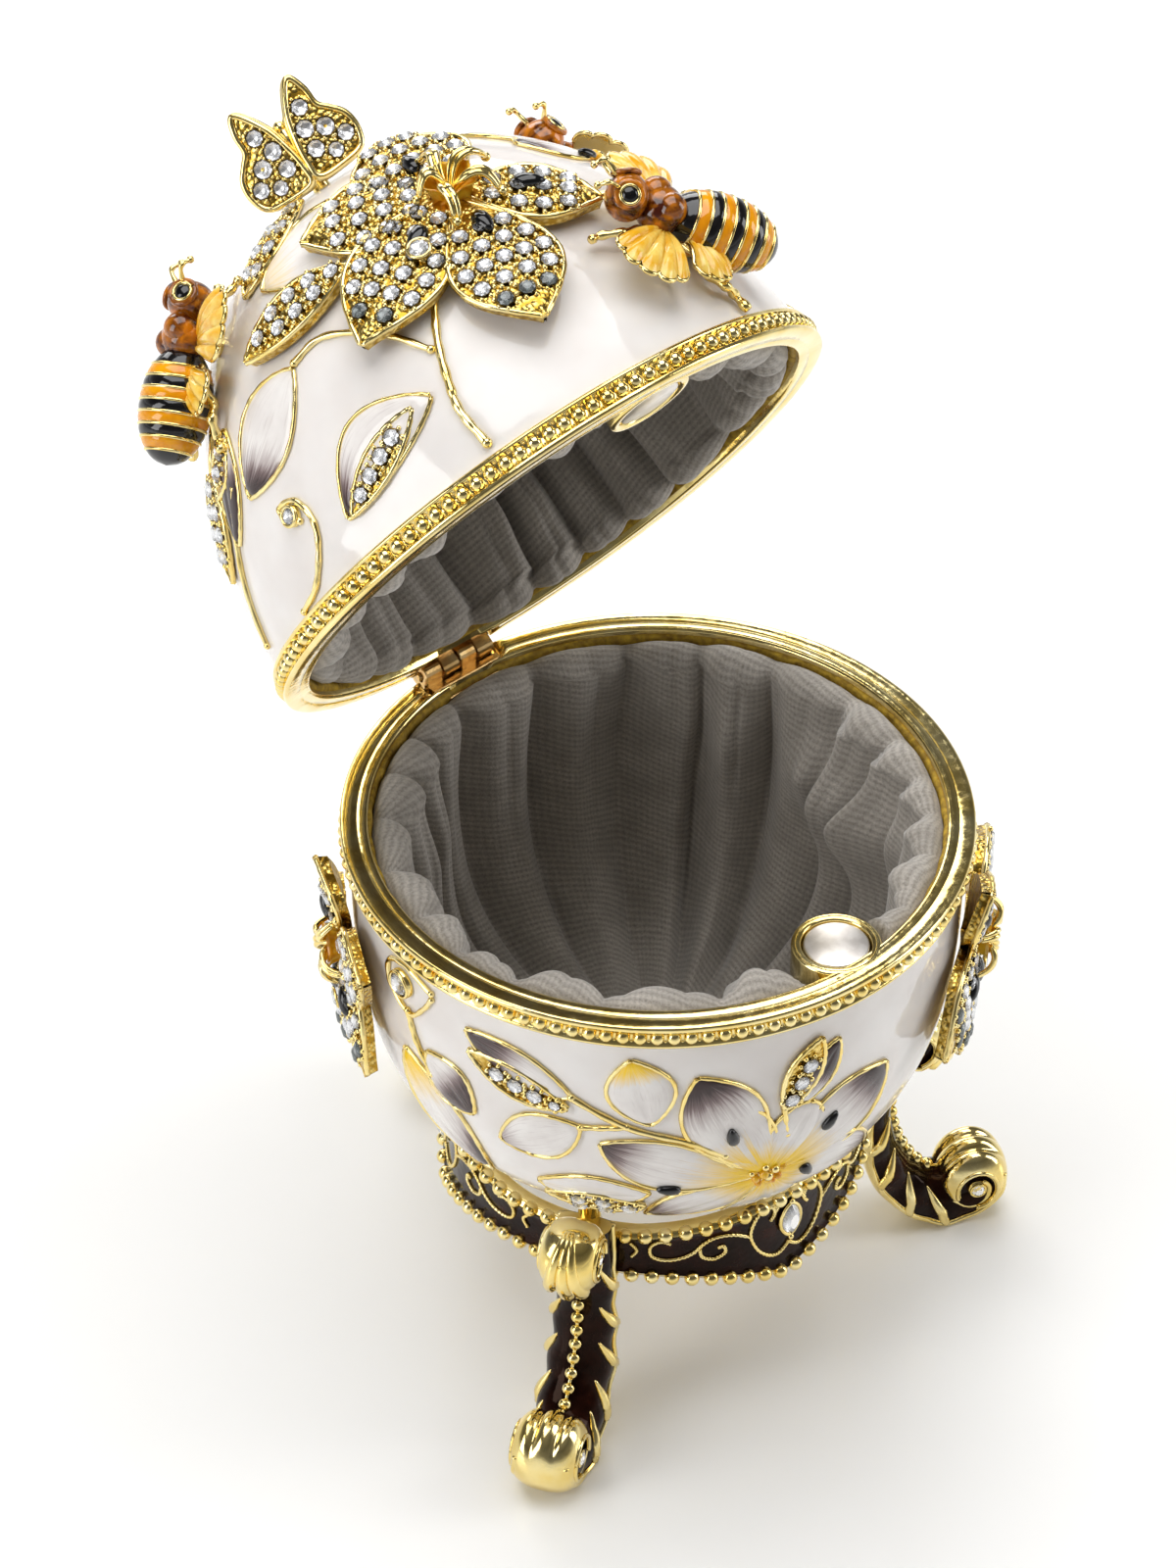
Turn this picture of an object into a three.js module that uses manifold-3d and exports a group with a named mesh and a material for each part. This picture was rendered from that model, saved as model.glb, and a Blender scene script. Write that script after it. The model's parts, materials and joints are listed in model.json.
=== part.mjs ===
// A jewelled egg trinket box on a three-legged stand, with its hinged lid open.
// Millimetres and degrees. The rims meet at height 0, the egg's axis is x = y = 0, and the hinge is at +Y.
// Azimuths turn from +X towards +Y. A place on the egg is [azimuth, percent of the half's depth].
import * as THREE from 'three';
import { mergeVertices } from 'three/addons/utils/BufferGeometryUtils.js';
import Module from 'manifold-3d';

const wasm = await Module();
wasm.setup();

// Clearances
const fitGap = 0.3;
const pieceGap = 0.35;
const rimGap = 0.3;

// Egg shells
const rimRadius = 45;
const rimWidth = 4;
const rimFlat = 3.6;
const shoulder = 1.3;
const bandHeight = 4.4;
const beadRadius = 0.8;
const curveStart = 3;
const lidDepth = 57.4;
const bowlDepth = 57.2;
const shellWall = 2.2;
const shellSegments = 30;
const wallStations = 4;

// Linings
const liningGap = 0.6;
const liningCloth = 3;
const liningTop = 1.2;
const liningFloorRadius = 9;
const liningFloorRise = 1;
const liningPleats = 13;
const pleatDepth = 1.2;

// Magnets and the bosses that hold them
const magnetRadius = 4.6;
const magnetThickness = 3;
const bossWall = 1.4;
const bossFloor = 1.85;
const bossInset = 1.9;

// Hinge
const openAngle = 58.5;
const hingeWidth = 12.6;
const knuckleCount = 4;
const knuckleRadius = 1.9;
const pinRadius = 0.7;
const leafLength = 1.4;
const leafThickness = 1.2;
const leafOverlap = 0.2;

// Stand
const floorDrop = 30.8;
const standTurn = 0.75;
const legCount = 3;
const apronTurn = -3.65;
const apronGap = 1.2;
const apronThickness = 2.2;
const apronDip = 3.8;
const apronHeight = 8.8;
const apronArch = 2.2;
const apronDrop = 5.6;
const apronDropReach = 44;
const apronRoll = 0.6;
const apronEdge = 2.2;
const apronColumns = 48;
const legSeat = 0.9;
const legReach = 22.6;
const legWidth = 10.4;
const pegRadius = 1.7;
const pegBite = 2;
const marquiseLength = 6.5;
const marquiseWidth = 3.8;
const marquisePlace = 0.34;
const marquiseDepth = 1.8;

// Relief and jewelled pieces
const reliefSink = 1;
const reliefRise = 0.8;
const petalRise = 2.9;
const petalEdge = 0.6;
const petalWidth = 11;
const petalCurl = 2.5;
const leafWidth = 10;
const wingThickness = 1.5;
const wingHeight = 1.9;
const beeLength = 24;
const beeLegRadius = 0.7;
const beeClearance = 1.2;
const butterflyHeight = 14;
const butterflyLean = 15;
const butterflyFold = 14;
const butterflyClearance = 1.1;
const feelerRadius = 0.4;

const gold = { color: 0xe2b84c, roughness: 0.22, metalness: 1 };
const enamel = { color: 0xe8e4e2, roughness: 0.12, metalness: 0 };
const darkEnamel = { color: 0x2a1718, roughness: 0.12, metalness: 0 };
const fleece = { color: 0x86807b, roughness: 0.95, metalness: 0 };
const steel = { color: 0xd8d8d4, roughness: 0.3, metalness: 1 };
const crystal = { color: 0xf2f5f8, roughness: 0.02, metalness: 0 };
const amber = { color: 0xe8a020, roughness: 0.15, metalness: 0 };

const { cos, sin, abs, min, max, hypot, PI } = Math;
const rad = THREE.MathUtils.degToRad;
const at = (x, y, z) => new THREE.Vector3(x, y, z);
const polar = (azimuth, radius, z) => at(radius * cos(rad(azimuth)), radius * sin(rad(azimuth)), z);
const steps = (count) => Array.from({ length: count + 1 }, (_, i) => i / count);
const mid = (low, high, share) => low + (high - low) * share;

// Solids

function signedVolume(position, index) {
  const [a, b, c] = [at(), at(), at()];
  let sum = 0;
  for (let i = 0; i < index.length; i += 3) {
    a.fromBufferAttribute(position, index[i]);
    b.fromBufferAttribute(position, index[i + 1]);
    c.fromBufferAttribute(position, index[i + 2]);
    sum += a.dot(b.cross(c));
  }
  return sum / 6;
}

function toSolid(geometry) {
  const bare = geometry.clone();
  bare.deleteAttribute('normal');
  bare.deleteAttribute('uv');
  const merged = mergeVertices(bare, 1e-4);
  const index = [];
  for (let i = 0; i < merged.index.count; i += 3) {
    const corners = [0, 1, 2].map((k) => merged.index.getX(i + k));
    if (new Set(corners).size === 3) index.push(...corners);
  }
  if (signedVolume(merged.attributes.position, index) < 0) index.reverse();
  const vertProperties = Float32Array.from(merged.attributes.position.array);
  return new wasm.Manifold(new wasm.Mesh({ numProp: 3, vertProperties, triVerts: Uint32Array.from(index) }));
}

function toGeometry(solid) {
  const { vertProperties, triVerts } = solid.getMesh();
  const geometry = new THREE.BufferGeometry();
  geometry.setAttribute('position', new THREE.BufferAttribute(vertProperties, 3));
  geometry.setIndex(new THREE.BufferAttribute(triVerts, 1));
  return geometry;
}

const join = (...solids) => solids.flat().reduce((whole, next) => whole.add(next));

// Cuts and joins can leave slivers with no volume to speak of, so only the largest body is kept.
const largest = (solid) => solid.decompose().reduce((a, b) => (b.volume() > a.volume() ? b : a));

const moved = (solid, matrix) => toSolid(toGeometry(solid).applyMatrix4(matrix));
const flipped = (solid) => moved(solid, new THREE.Matrix4().makeScale(1, 1, -1));

// A closed skin through rings of points. The rings either close on each other or are capped.
function loft(rings, closed = false) {
  const size = rings[0].length;
  const index = [];
  for (let i = 0; i < rings.length - (closed ? 0 : 1); i += 1) {
    const next = (i + 1) % rings.length;
    for (let j = 0; j < size; j += 1) {
      const k = (j + 1) % size;
      index.push(i * size + j, i * size + k, next * size + k, i * size + j, next * size + k, next * size + j);
    }
  }
  const last = (rings.length - 1) * size;
  for (let j = 1; !closed && j < size - 1; j += 1) {
    index.push(0, j + 1, j, last, last + j, last + j + 1);
  }
  const geometry = new THREE.BufferGeometry();
  const position = rings.flat().flatMap((point) => point.toArray());
  geometry.setAttribute('position', new THREE.Float32BufferAttribute(position, 3));
  geometry.setIndex(index);
  return toSolid(geometry);
}

// A solid of revolution about Z from a profile of [radius, height] pairs.
function revolve(profile, segments) {
  const points = profile.map(([radius, height]) => new THREE.Vector2(radius, height));
  return toSolid(new THREE.LatheGeometry(points, segments).rotateX(PI / 2));
}

function box(x, y, z) {
  const geometry = new THREE.BoxGeometry(x[1] - x[0], y[1] - y[0], z[1] - z[0]);
  return toSolid(geometry.translate((x[0] + x[1]) / 2, (y[0] + y[1]) / 2, (z[0] + z[1]) / 2));
}

// An upright round bar between two heights, with its axis at distance y from the egg's.
function post(radius, y, low, high, sides = 16) {
  const geometry = new THREE.CylinderGeometry(radius, radius, high - low, sides).rotateX(PI / 2);
  return toSolid(geometry.translate(0, y, (low + high) / 2));
}

function ball(radii, centre, around = 7, along = 4) {
  const geometry = new THREE.SphereGeometry(1, around, along).rotateX(PI / 2);
  return toSolid(geometry.scale(...radii).translate(...centre.toArray()));
}

function plate(outline, thickness) {
  const shape = new THREE.Shape(outline.map(([x, y]) => new THREE.Vector2(x, y)));
  return new THREE.ExtrudeGeometry(shape, { depth: thickness, bevelEnabled: false });
}

// A thin bar along a curve.
function bar(path, radius, sides, count) {
  const corners = steps(sides).slice(1).map((share) => share * 2 * PI);
  const outline = corners.map((turn) => new THREE.Vector2(radius * cos(turn), radius * sin(turn)));
  return toSolid(new THREE.ExtrudeGeometry(new THREE.Shape(outline), { steps: count, extrudePath: path }));
}

// The egg's outer skin: a superellipse of revolution, blunt below and narrower above.

const skinTop = rimRadius - shoulder;
const lidHalf = { side: 1, depth: lidDepth, radius: skinTop, along: 1.83, across: 2.22 };
const bowlHalf = { side: -1, depth: bowlDepth, radius: skinTop, along: 3.51, across: 2.36 };
const rise = (half) => half.depth - curveStart;

function skinRadius(half, height) {
  const share = max(min((height - curveStart) / rise(half), 1), 0);
  return half.radius * (1 - share ** half.along) ** (1 / half.across);
}

function skinHeight(half, radius) {
  const share = 1 - (radius / half.radius) ** half.across;
  return curveStart + rise(half) * max(share, 0) ** (1 / half.along);
}

function skinNormal(half, radius, height) {
  const share = max((height - curveStart) / rise(half), 0);
  const out = half.across / half.radius * (radius / half.radius) ** (half.across - 1);
  const up = half.along / rise(half) * share ** (half.along - 1);
  return [out / hypot(out, up), up / hypot(out, up)];
}

// The skin's profile moved inward, from the height low to the axis, as [radius, height] pairs.
function innerProfile(half, inset, low, count) {
  const profile = [];
  for (const share of steps(count).slice(0, -1)) {
    const height = mid(low, half.depth, 1 - (1 - share) ** 2);
    const radius = skinRadius(half, height);
    const [out, up] = skinNormal(half, radius, height);
    profile.push([radius - inset * out, height - inset * up]);
  }
  profile[0][1] = low;
  profile.push([0, half.depth - inset]);
  return profile;
}

function skinPoint(half, direction, lift = 0) {
  const flat = hypot(direction.x, direction.y);
  const up = abs(direction.z);
  let [near, far] = [0, 2 * (half.radius + half.depth)];
  for (let step = 0; step < 40; step += 1) {
    const t = (near + far) / 2;
    const across = (t * flat / half.radius) ** half.across;
    const along = (max(t * up - curveStart, 0) / rise(half)) ** half.along;
    if (across + along > 1) far = t;
    else near = t;
  }
  const point = direction.clone().multiplyScalar(near);
  const [out, rising] = skinNormal(half, near * flat, near * up);
  const normal = at(out * direction.x / flat, out * direction.y / flat, half.side * rising);
  return { point: point.addScaledVector(normal, lift), normal };
}

function towards(half, [azimuth, percent]) {
  const height = half.depth * percent / 100;
  return polar(azimuth, skinRadius(half, height), half.side * height).normalize();
}

// A frame on the skin: X runs east, Y towards the pole above, and Z along the normal.
function skinFrame(half, place, lift, heading = 0) {
  const { point, normal } = skinPoint(half, towards(half, place), lift);
  const east = at(-sin(rad(place[0])), cos(rad(place[0])), 0);
  const north = normal.clone().cross(east).normalize();
  const matrix = new THREE.Matrix4().makeBasis(east, north, normal).setPosition(point);
  return matrix.multiply(new THREE.Matrix4().makeRotationZ(rad(heading)));
}

// A leaf or petal that follows the skin from its base to its tip. Its heights are above the skin,
// and wide is the share of its length where it is widest.
function blade(half, { base, tip, width, edge, ridge, foot, lift = 0, wide = 0.5 }) {
  const [from, to] = [towards(half, base), towards(half, tip)];
  const sideways = from.clone().cross(to).normalize();
  const angle = from.angleTo(to);
  const rings = steps(3).map((share) => {
    const heading = from.clone().applyAxisAngle(sideways, angle * share);
    const swell = sin(PI * share ** (Math.log(0.5) / Math.log(wide))) ** 0.8;
    const reach = width / 2 * max(swell, 0.08) / rimRadius;
    const curl = lift * share ** 2;
    const place = (side, height) => {
      const turned = heading.clone().multiplyScalar(cos(reach)).addScaledVector(sideways, side * sin(reach));
      return skinPoint(half, turned, height + curl).point;
    };
    const middle = (height) => skinPoint(half, heading, height + curl).point;
    const section = [place(-1, edge), middle(ridge), place(1, edge), place(1, foot)];
    if (foot > 0) section.push(middle(foot));
    return [...section, place(-1, foot)];
  });
  return loft(rings);
}

const enamelLeaf = (half, base, tip, width, wide) => blade(half, {
  base, tip, width: leafWidth * width, wide, edge: reliefRise / 2, ridge: reliefRise, foot: -reliefSink,
});

// Shells

const rimFace = rimGap / 2;
const bossRadius = magnetRadius + fitGap + bossWall;
const bossDistance = rimRadius - bossInset - bossRadius;
const pocketDepth = rimFace + magnetThickness + 2 * fitGap;
const bossHeight = pocketDepth + bossFloor;

function shellProfile(half) {
  const groove = rimRadius - beadRadius;
  const bead = rimFace + bandHeight / 2;
  return [
    [rimRadius - rimWidth, rimFace],
    [rimRadius, rimFace],
    [rimRadius, bead - beadRadius - fitGap],
    [groove, bead - beadRadius],
    [rimRadius, bead],
    [groove, bead + beadRadius],
    ...innerProfile(half, 0, bandHeight, 6),
    ...innerProfile(half, shellWall, bandHeight, wallStations).reverse(),
    [rimRadius - rimWidth, min(rimFlat, bandHeight - fitGap)],
    [rimRadius - rimWidth, rimFace],
  ];
}

function shell(half, relief) {
  const recess = hingeWidth / 2 + 2 * fitGap;
  const inside = hingeLine - fitGap;
  const outside = rimRadius + 2 * knuckleRadius;
  const boss = post(bossRadius, -bossDistance, rimFace, bossHeight);
  const upright = join(revolve(shellProfile(half), shellSegments), boss)
    .subtract(post(magnetRadius + fitGap, -bossDistance, -1, pocketDepth))
    .subtract(box([-recess, recess], [inside, outside], [-1, knuckleRadius + fitGap]));
  return join(half.side > 0 ? upright : flipped(upright), relief);
}

// The cloth hangs in pleats: its inner radius swings between two values round the lining.
function lining(half) {
  const outer = innerProfile(half, shellWall + liningGap, bandHeight, wallStations);
  const inner = innerProfile(half, shellWall + liningGap + liningCloth, bandHeight, wallStations);
  outer[0] = [min(outer[0][0], rimRadius - rimWidth - fitGap), liningTop];
  inner[0] = [inner[0][0], liningTop];
  const floor = half.depth - shellWall - liningGap - liningCloth - liningFloorRise;
  inner.splice(-2, 2, [liningFloorRadius, floor], [0, floor]);
  const rings = [];
  for (let i = 0; i < 2 * liningPleats; i += 1) {
    const azimuth = 180 * i / liningPleats;
    const pleated = inner.map(([radius, z], k) => [radius - (k < 3 ? (i % 2) * pleatDepth : 0), z]);
    rings.push([...outer, ...pleated.reverse()].map(([radius, z]) => polar(azimuth, radius, half.side * z)));
  }
  const hole = post(bossRadius + liningGap, -bossDistance, 0, bossHeight + liningGap);
  return loft(rings, true).subtract(half.side > 0 ? hole : flipped(hole));
}

function magnet(half) {
  const low = rimFace + fitGap / 2;
  const disc = post(magnetRadius, -bossDistance, low, low + magnetThickness);
  return half.side > 0 ? disc : flipped(disc);
}

// Hinge: the knuckles belong to the bowl's leaf and the lid's leaf by turns.
// The leaves lie in a recess of the rims, against the shells.

const leafNear = rimRadius - knuckleRadius - fitGap;
const hingeLine = leafNear - leafLength;
const knuckleWidth = (hingeWidth + fitGap) / knuckleCount - fitGap;
const knuckleSpans = (first) => steps(knuckleCount - 1).map((_, i) => {
  const low = i * (knuckleWidth + fitGap) - hingeWidth / 2;
  return [low, low + knuckleWidth];
}).filter((_, i) => i % 2 === first);

function barrel(radius, span) {
  const geometry = new THREE.CylinderGeometry(radius, radius, span[1] - span[0], 10).rotateZ(PI / 2);
  return toSolid(geometry.translate((span[0] + span[1]) / 2, rimRadius, 0));
}

function hingeLeaf(half, spans) {
  const height = [knuckleRadius - leafThickness, knuckleRadius];
  if (half.side < 0) height.splice(0, 2, -height[1], -height[0]);
  const reach = rimRadius - pinRadius - fitGap - leafOverlap;
  const pieces = [box([-hingeWidth / 2, hingeWidth / 2], [hingeLine, leafNear], height)];
  for (const span of spans) {
    pieces.push(box(span, [leafNear - leafOverlap, reach], height), barrel(knuckleRadius, span));
  }
  return join(pieces).subtract(barrel(pinRadius + fitGap, [-hingeWidth, hingeWidth]));
}

// Stand: an apron of three panels round the foot of the egg, carried by three legs.

const sector = 360 / legCount;
const legAzimuth = (i) => 90 + standTurn + sector * i;
const panelAzimuth = (i) => legAzimuth(i) + sector / 2 + apronTurn;
const apronTop = apronDip - bowlDepth;
const apronRadius = skinRadius(bowlHalf, -apronTop - apronArch) + apronGap + apronThickness;

// The upper and lower edge of the apron, which arches up and drops to a point in each panel's middle.
function apronEdges(azimuth) {
  const turned = azimuth - panelAzimuth(0) + sector / 2;
  const away = abs(THREE.MathUtils.euclideanModulo(turned, sector) - sector / 2);
  const near = max(1 - away / apronDropReach, 0);
  return [apronTop + apronArch * near, apronTop - apronHeight - apronDrop * near ** 1.6];
}

function apron() {
  const rings = [];
  const inner = apronRadius - apronThickness;
  for (let i = 0; i < apronColumns; i += 1) {
    const azimuth = panelAzimuth(0) + 360 * i / apronColumns;
    const [top, bottom] = apronEdges(azimuth);
    const roll = apronRadius + apronRoll * (i % 2);
    const section = [
      [inner, top], [roll, top], [apronRadius, top - apronEdge],
      [apronRadius, bottom + apronEdge], [roll, bottom], [inner, bottom],
    ];
    rings.push(section.map(([radius, z]) => polar(azimuth, radius, z)));
  }
  return loft(rings, true);
}

// A ribbed scroll, like a shell seen on edge, about an axis along local Y.
function scroll({ radius, width, out, down }) {
  const ribs = [[0, -0.5], [0.92, -0.38], [0.84, -0.18], [1.04, 0], [0.84, 0.18], [0.92, 0.38], [0, 0.5]];
  const profile = ribs.map(([share, place]) => new THREE.Vector2(radius * share, width * place));
  return toSolid(new THREE.LatheGeometry(profile, 9).translate(legBack + out, 0, legHeight(down)));
}

// One leg in its own plane: X runs outward from its back, Y across and Z up. A station holds the inner
// edge, the outer ridge and half the width, as shares of the leg's reach, its height and its width.
// Heights run from the leg's top to its sole.
const legBack = apronRadius + apronRoll + fitGap;
const legTop = -skinHeight(bowlHalf, legBack) - legSeat;
const legHeight = (share) => mid(legTop, -bowlDepth - floorDrop, share);
const legStations = [
  [[0, 0], [0.208, -0.01], 0.375],
  [[0, 0.22], [0.208, 0.22], 0.413],
  [[0, 0.44], [0.199, 0.425], 0.433],
  [[0.004, 0.64], [0.261, 0.585], 0.462],
  [[0.146, 0.835], [0.376, 0.713], 0.49],
  [[0.473, 1], [0.518, 0.785], 0.5],
  [[0.774, 1], [0.721, 0.805], 0.5],
  [[0.969, 0.9], [0.872, 0.78], 0.471],
  [[1, 0.78], [0.872, 0.74], 0.413],
];
const topScroll = { radius: 5.2, width: 8, out: 7.2, down: 0.059 };
const footScroll = { radius: 6.1, width: 9.8, out: 17.3, down: 0.8 };

function leg(i, eggRoom) {
  const rings = legStations.map(([inner, outer, half]) => {
    const [innerX, outerX] = [legBack + legReach * inner[0], legBack + legReach * outer[0]];
    const [innerZ, outerZ] = [legHeight(inner[1]), legHeight(outer[1])];
    const edge = (side, share) =>
      at(mid(innerX, outerX, share), side * legWidth * half, mid(innerZ, outerZ, share));
    return [edge(-1, 0), edge(-1, 0.62), edge(0, 1), edge(1, 0.62), edge(1, 0)];
  });
  const pegCentre = legBack - pegRadius / 2;
  const pegTop = -skinHeight(bowlHalf, pegCentre) + pegBite;
  const peg = post(pegRadius, 0, apronTop + 2 * fitGap, pegTop, 10);
  const placedPeg = moved(peg, new THREE.Matrix4().makeTranslation(pegCentre, 0, 0));
  const whole = join(loft(rings), scroll(topScroll), scroll(footScroll), placedPeg);
  return moved(whole, new THREE.Matrix4().makeRotationZ(rad(legAzimuth(i)))).subtract(eggRoom);
}

// A marquise stone lying against the middle of a panel, its long axis upright.
function marquise(i) {
  const [top, bottom] = apronEdges(panelAzimuth(i));
  const girdle = steps(6).slice(1).map((share) => share * 2 * PI).map((turn) =>
    [marquiseWidth / 2 * sin(turn) ** 3, marquiseLength / 2 * cos(turn)]);
  const rings = [[0, 0.55], [0.4, 1], [1, 0.5]].map(([out, size]) => girdle.map(([x, z]) =>
    at(apronRadius + fitGap + marquiseDepth * out, x * size, mid(top, bottom, marquisePlace) + z * size)));
  return moved(loft(rings), new THREE.Matrix4().makeRotationZ(rad(panelAzimuth(i))));
}

// Jewelled orchids: petals round a flared cup, standing just clear of the enamel.

const jewelledPetal = (half, petal) =>
  blade(half, { ...petal, edge: petalRise - petalEdge, ridge: petalRise, foot: reliefRise + pieceGap });

function cup(half, place, radius, height) {
  const profile = [
    [0, 0], [0.6 * radius, 0], [radius, height], [0.8 * radius, height],
    [0.45 * radius, 0.3 * height], [0, 0.24 * height],
  ];
  return moved(revolve(profile, 8), skinFrame(half, place, reliefRise + 2 * pieceGap));
}

function orchid(half, { centre, tips, cupRadius, cupHeight }) {
  const petals = tips.map(([azimuth, percent, width, lift = 1, wide = 0.55]) => jewelledPetal(half, {
    base: centre, tip: [azimuth, percent], width: petalWidth * width, lift: petalCurl * lift, wide,
  }));
  return join(petals, cup(half, centre, cupRadius, cupHeight));
}

// Bees: X runs towards the head, Y across, Z away from the egg, with the origin under the body.
// Outlines and paths are shares of the bee's length.

const beeWing = [
  [0.117, 0.108], [0.192, 0.25], [0.2, 0.392], [0.092, 0.467], [-0.033, 0.4],
  [-0.092, 0.342], [-0.192, 0.333], [-0.225, 0.258], [-0.083, 0.108],
];
const beeLeg = [[-0.042, 0.108, 0.083], [-0.167, 0.2, 0.067], [-0.375, 0.233, 0.05]];

function bee(half, place, heading) {
  const long = beeLength;
  const body = [
    ball([long * 0.29, long * 0.175, long * 0.17], at(-long * 0.21, 0, long * 0.16), 8, 5),
    ball([long * 0.13, long * 0.15, long * 0.14], at(long * 0.12, 0, long * 0.17)),
    ball([long * 0.13, long * 0.16, long * 0.14], at(long * 0.33, 0, long * 0.17)),
  ];
  const sides = [-1, 1].flatMap((side) => {
    const outline = beeWing.map(([x, y]) => [long * x, side * long * y]);
    const wing = plate(outline, wingThickness).translate(0, 0, wingHeight);
    const knees = beeLeg.map(([x, y, z]) => at(long * x, side * long * y, long * z));
    return [toSolid(wing), bar(new THREE.CatmullRomCurve3(knees), beeLegRadius, 3, 2)];
  });
  return moved(join(body, sides), skinFrame(half, place, beeClearance, heading));
}

// Butterfly: two upright wings on a small body, leaning back towards the top of the lid.
// Its sizes are shares of its height.

const butterflyWing = [
  [0.029, 0.014], [0.021, 0.393], [0.114, 0.714], [0.3, 1], [0.386, 0.857],
  [0.407, 0.643], [0.586, 0.414], [0.621, 0.257], [0.514, 0.014],
];

function butterfly(half, place) {
  const high = butterflyHeight;
  const outline = butterflyWing.map(([x, z]) => [high * x, high * z]);
  const wings = [-1, 1].map((side) => {
    const flat = plate(outline, wingThickness).rotateX(PI / 2).scale(side, 1, 1);
    return toSolid(flat.rotateZ(side * rad(butterflyFold)));
  });
  const body = ball([high * 0.093, high * 0.093, high * 0.329], at(0, high * 0.086, high * 0.343), 6, 5);
  const feelers = [-1, 1].map((side) => {
    const root = at(side * high * 0.021, high * 0.1, high * 0.6);
    const tip = at(side * high * 0.329, high * 0.286, high * 0.814);
    return bar(new THREE.LineCurve3(root, tip), feelerRadius, 4, 1);
  });
  const lean = new THREE.Matrix4().makeRotationX(-rad(butterflyLean));
  return moved(join(wings, body, feelers), skinFrame(half, place, butterflyClearance).multiply(lean));
}

// Enamel relief: leaves as base, tip and width, and flowers as a centre and its petals' tips and widths.
// Widths here are shares of leafWidth.

const lidLeaves = [
  [[-149, 55], [-173, 38.5], 1],
  [[-130, 31], [-152, 17], 1.1],
  [[-110, 76.5], [-153, 78.5], 1.3],
  [[-176, 57.5], [176, 33], 0.7],
  [[172, 52.5], [164, 29.5], 0.8],
  [[150, 59], [140, 35], 0.9],
  [[60, 38.5], [38, 55.5], 1],
  [[120, 38.5], [142, 59], 1],
  [[90, 59], [92, 87], 1.1],
  [[-20, 21], [-2, 35], 0.9],
];
const lidFlower = {
  centre: [-40, 66],
  tips: [[-62, 76.5, 0.9], [-50, 42, 0.9], [-22, 45.5, 0.9], [-12, 73, 0.9], [-48, 90.5, 1]],
};
const bowlLeaves = [
  [[-148, 29], [-169, 20], 1],
  [[-146, 36], [-163, 50.5], 0.8],
  [[-134, 32], [-135.6, 12], 0.9],
  [[-179, 33], [-168, 45.5], 0.8],
  [[-133, 63], [-156, 67], 0.9],
  [[-108.5, 32.5], [-100.8, 14], 0.8],
  [[174, 38.5], [-169, 71.5], 1],
  [[60, 21], [40, 38.5], 1],
  [[66, 31.5], [72, 59.5], 1],
  [[112, 21], [124, 45.5], 1],
  [[14, 17.5], [-4, 35], 1],
  [[-22, 52.5], [-14, 77], 0.9],
];
const bowlFlower = {
  centre: [-110, 61],
  tips: [
    [-124.6, 15.5, 1.2], [-84, 35, 1.2], [-142, 40, 0.9],
    [-82, 70, 1.1], [-134, 77, 0.9], [-104, 87.5, 0.9],
  ],
};

const relief = (half, leaves, { centre, tips }) => [
  ...leaves.map(([base, tip, width]) => enamelLeaf(half, base, tip, width)),
  ...tips.map(([azimuth, percent, width]) => enamelLeaf(half, centre, [azimuth, percent], width, 0.6)),
];

// Jewelled orchids: tips as azimuth, percent, width, and where they differ, curl and widest share.
// Widths and curls are shares of petalWidth and petalCurl.

const lidOrchid = {
  centre: [-99, 66],
  tips: [
    [-133, 82, 1], [-132, 45.5, 1.18], [-104, 25.5, 1.27, 1, 0.6],
    [-75, 50.5, 1, 0.8], [-92, 94, 1.45, 0.8],
  ],
  cupRadius: 4.6,
  cupHeight: 6,
};
const sideOrchid = (azimuth) => ({
  centre: [azimuth, 29.5],
  tips: [
    [azimuth - 24, 41.5, 1], [azimuth - 6, 8.5, 0.91], [azimuth + 20, 19, 0.91],
    [azimuth + 18, 50.5, 0.91], [azimuth - 4, 63, 1],
  ],
  cupRadius: 4,
  cupHeight: 5,
});

const sprayLeaf = { base: [-138, 64.5], tip: [-157, 66.5], width: petalWidth * 0.64 };

// The object

const model = new THREE.Group();
const base = new THREE.Group();
const lidHinge = new THREE.Group();
const lid = new THREE.Group();
lidHinge.position.set(0, rimRadius, 0);
lidHinge.rotation.x = -rad(openAngle);
lid.position.set(0, -rimRadius, 0);
lidHinge.add(lid);
model.add(base, lidHinge);

function piece(group, name, solid, look) {
  const mesh = new THREE.Mesh(toGeometry(largest(solid)), new THREE.MeshStandardMaterial(look));
  mesh.name = name;
  group.add(mesh);
}

piece(base, 'bowl', shell(bowlHalf, relief(bowlHalf, bowlLeaves, bowlFlower)), enamel);
piece(base, 'bowl_lining', lining(bowlHalf), fleece);
piece(base, 'bowl_magnet', magnet(bowlHalf), steel);
piece(base, 'bowl_hinge_leaf', hingeLeaf(bowlHalf, knuckleSpans(0)), gold);
piece(base, 'hinge_pin', barrel(pinRadius, [-hingeWidth / 2, hingeWidth / 2]), gold);
piece(base, 'apron', apron(), darkEnamel);

const eggSkin = innerProfile(bowlHalf, -pieceGap, 0, 8);
const eggRoom = flipped(revolve([[0, 0], ...eggSkin], shellSegments));
['back', 'left', 'right'].forEach((side, i) => {
  piece(base, `leg_${side}`, leg(i, eggRoom), darkEnamel);
});
['left', 'front', 'right'].forEach((side, i) => {
  piece(base, `apron_crystal_${side}`, marquise(i), crystal);
});
piece(base, 'bowl_orchid_right', orchid(bowlHalf, sideOrchid(-50)), gold);
piece(base, 'bowl_orchid_left', orchid(bowlHalf, sideOrchid(150)), gold);

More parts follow.
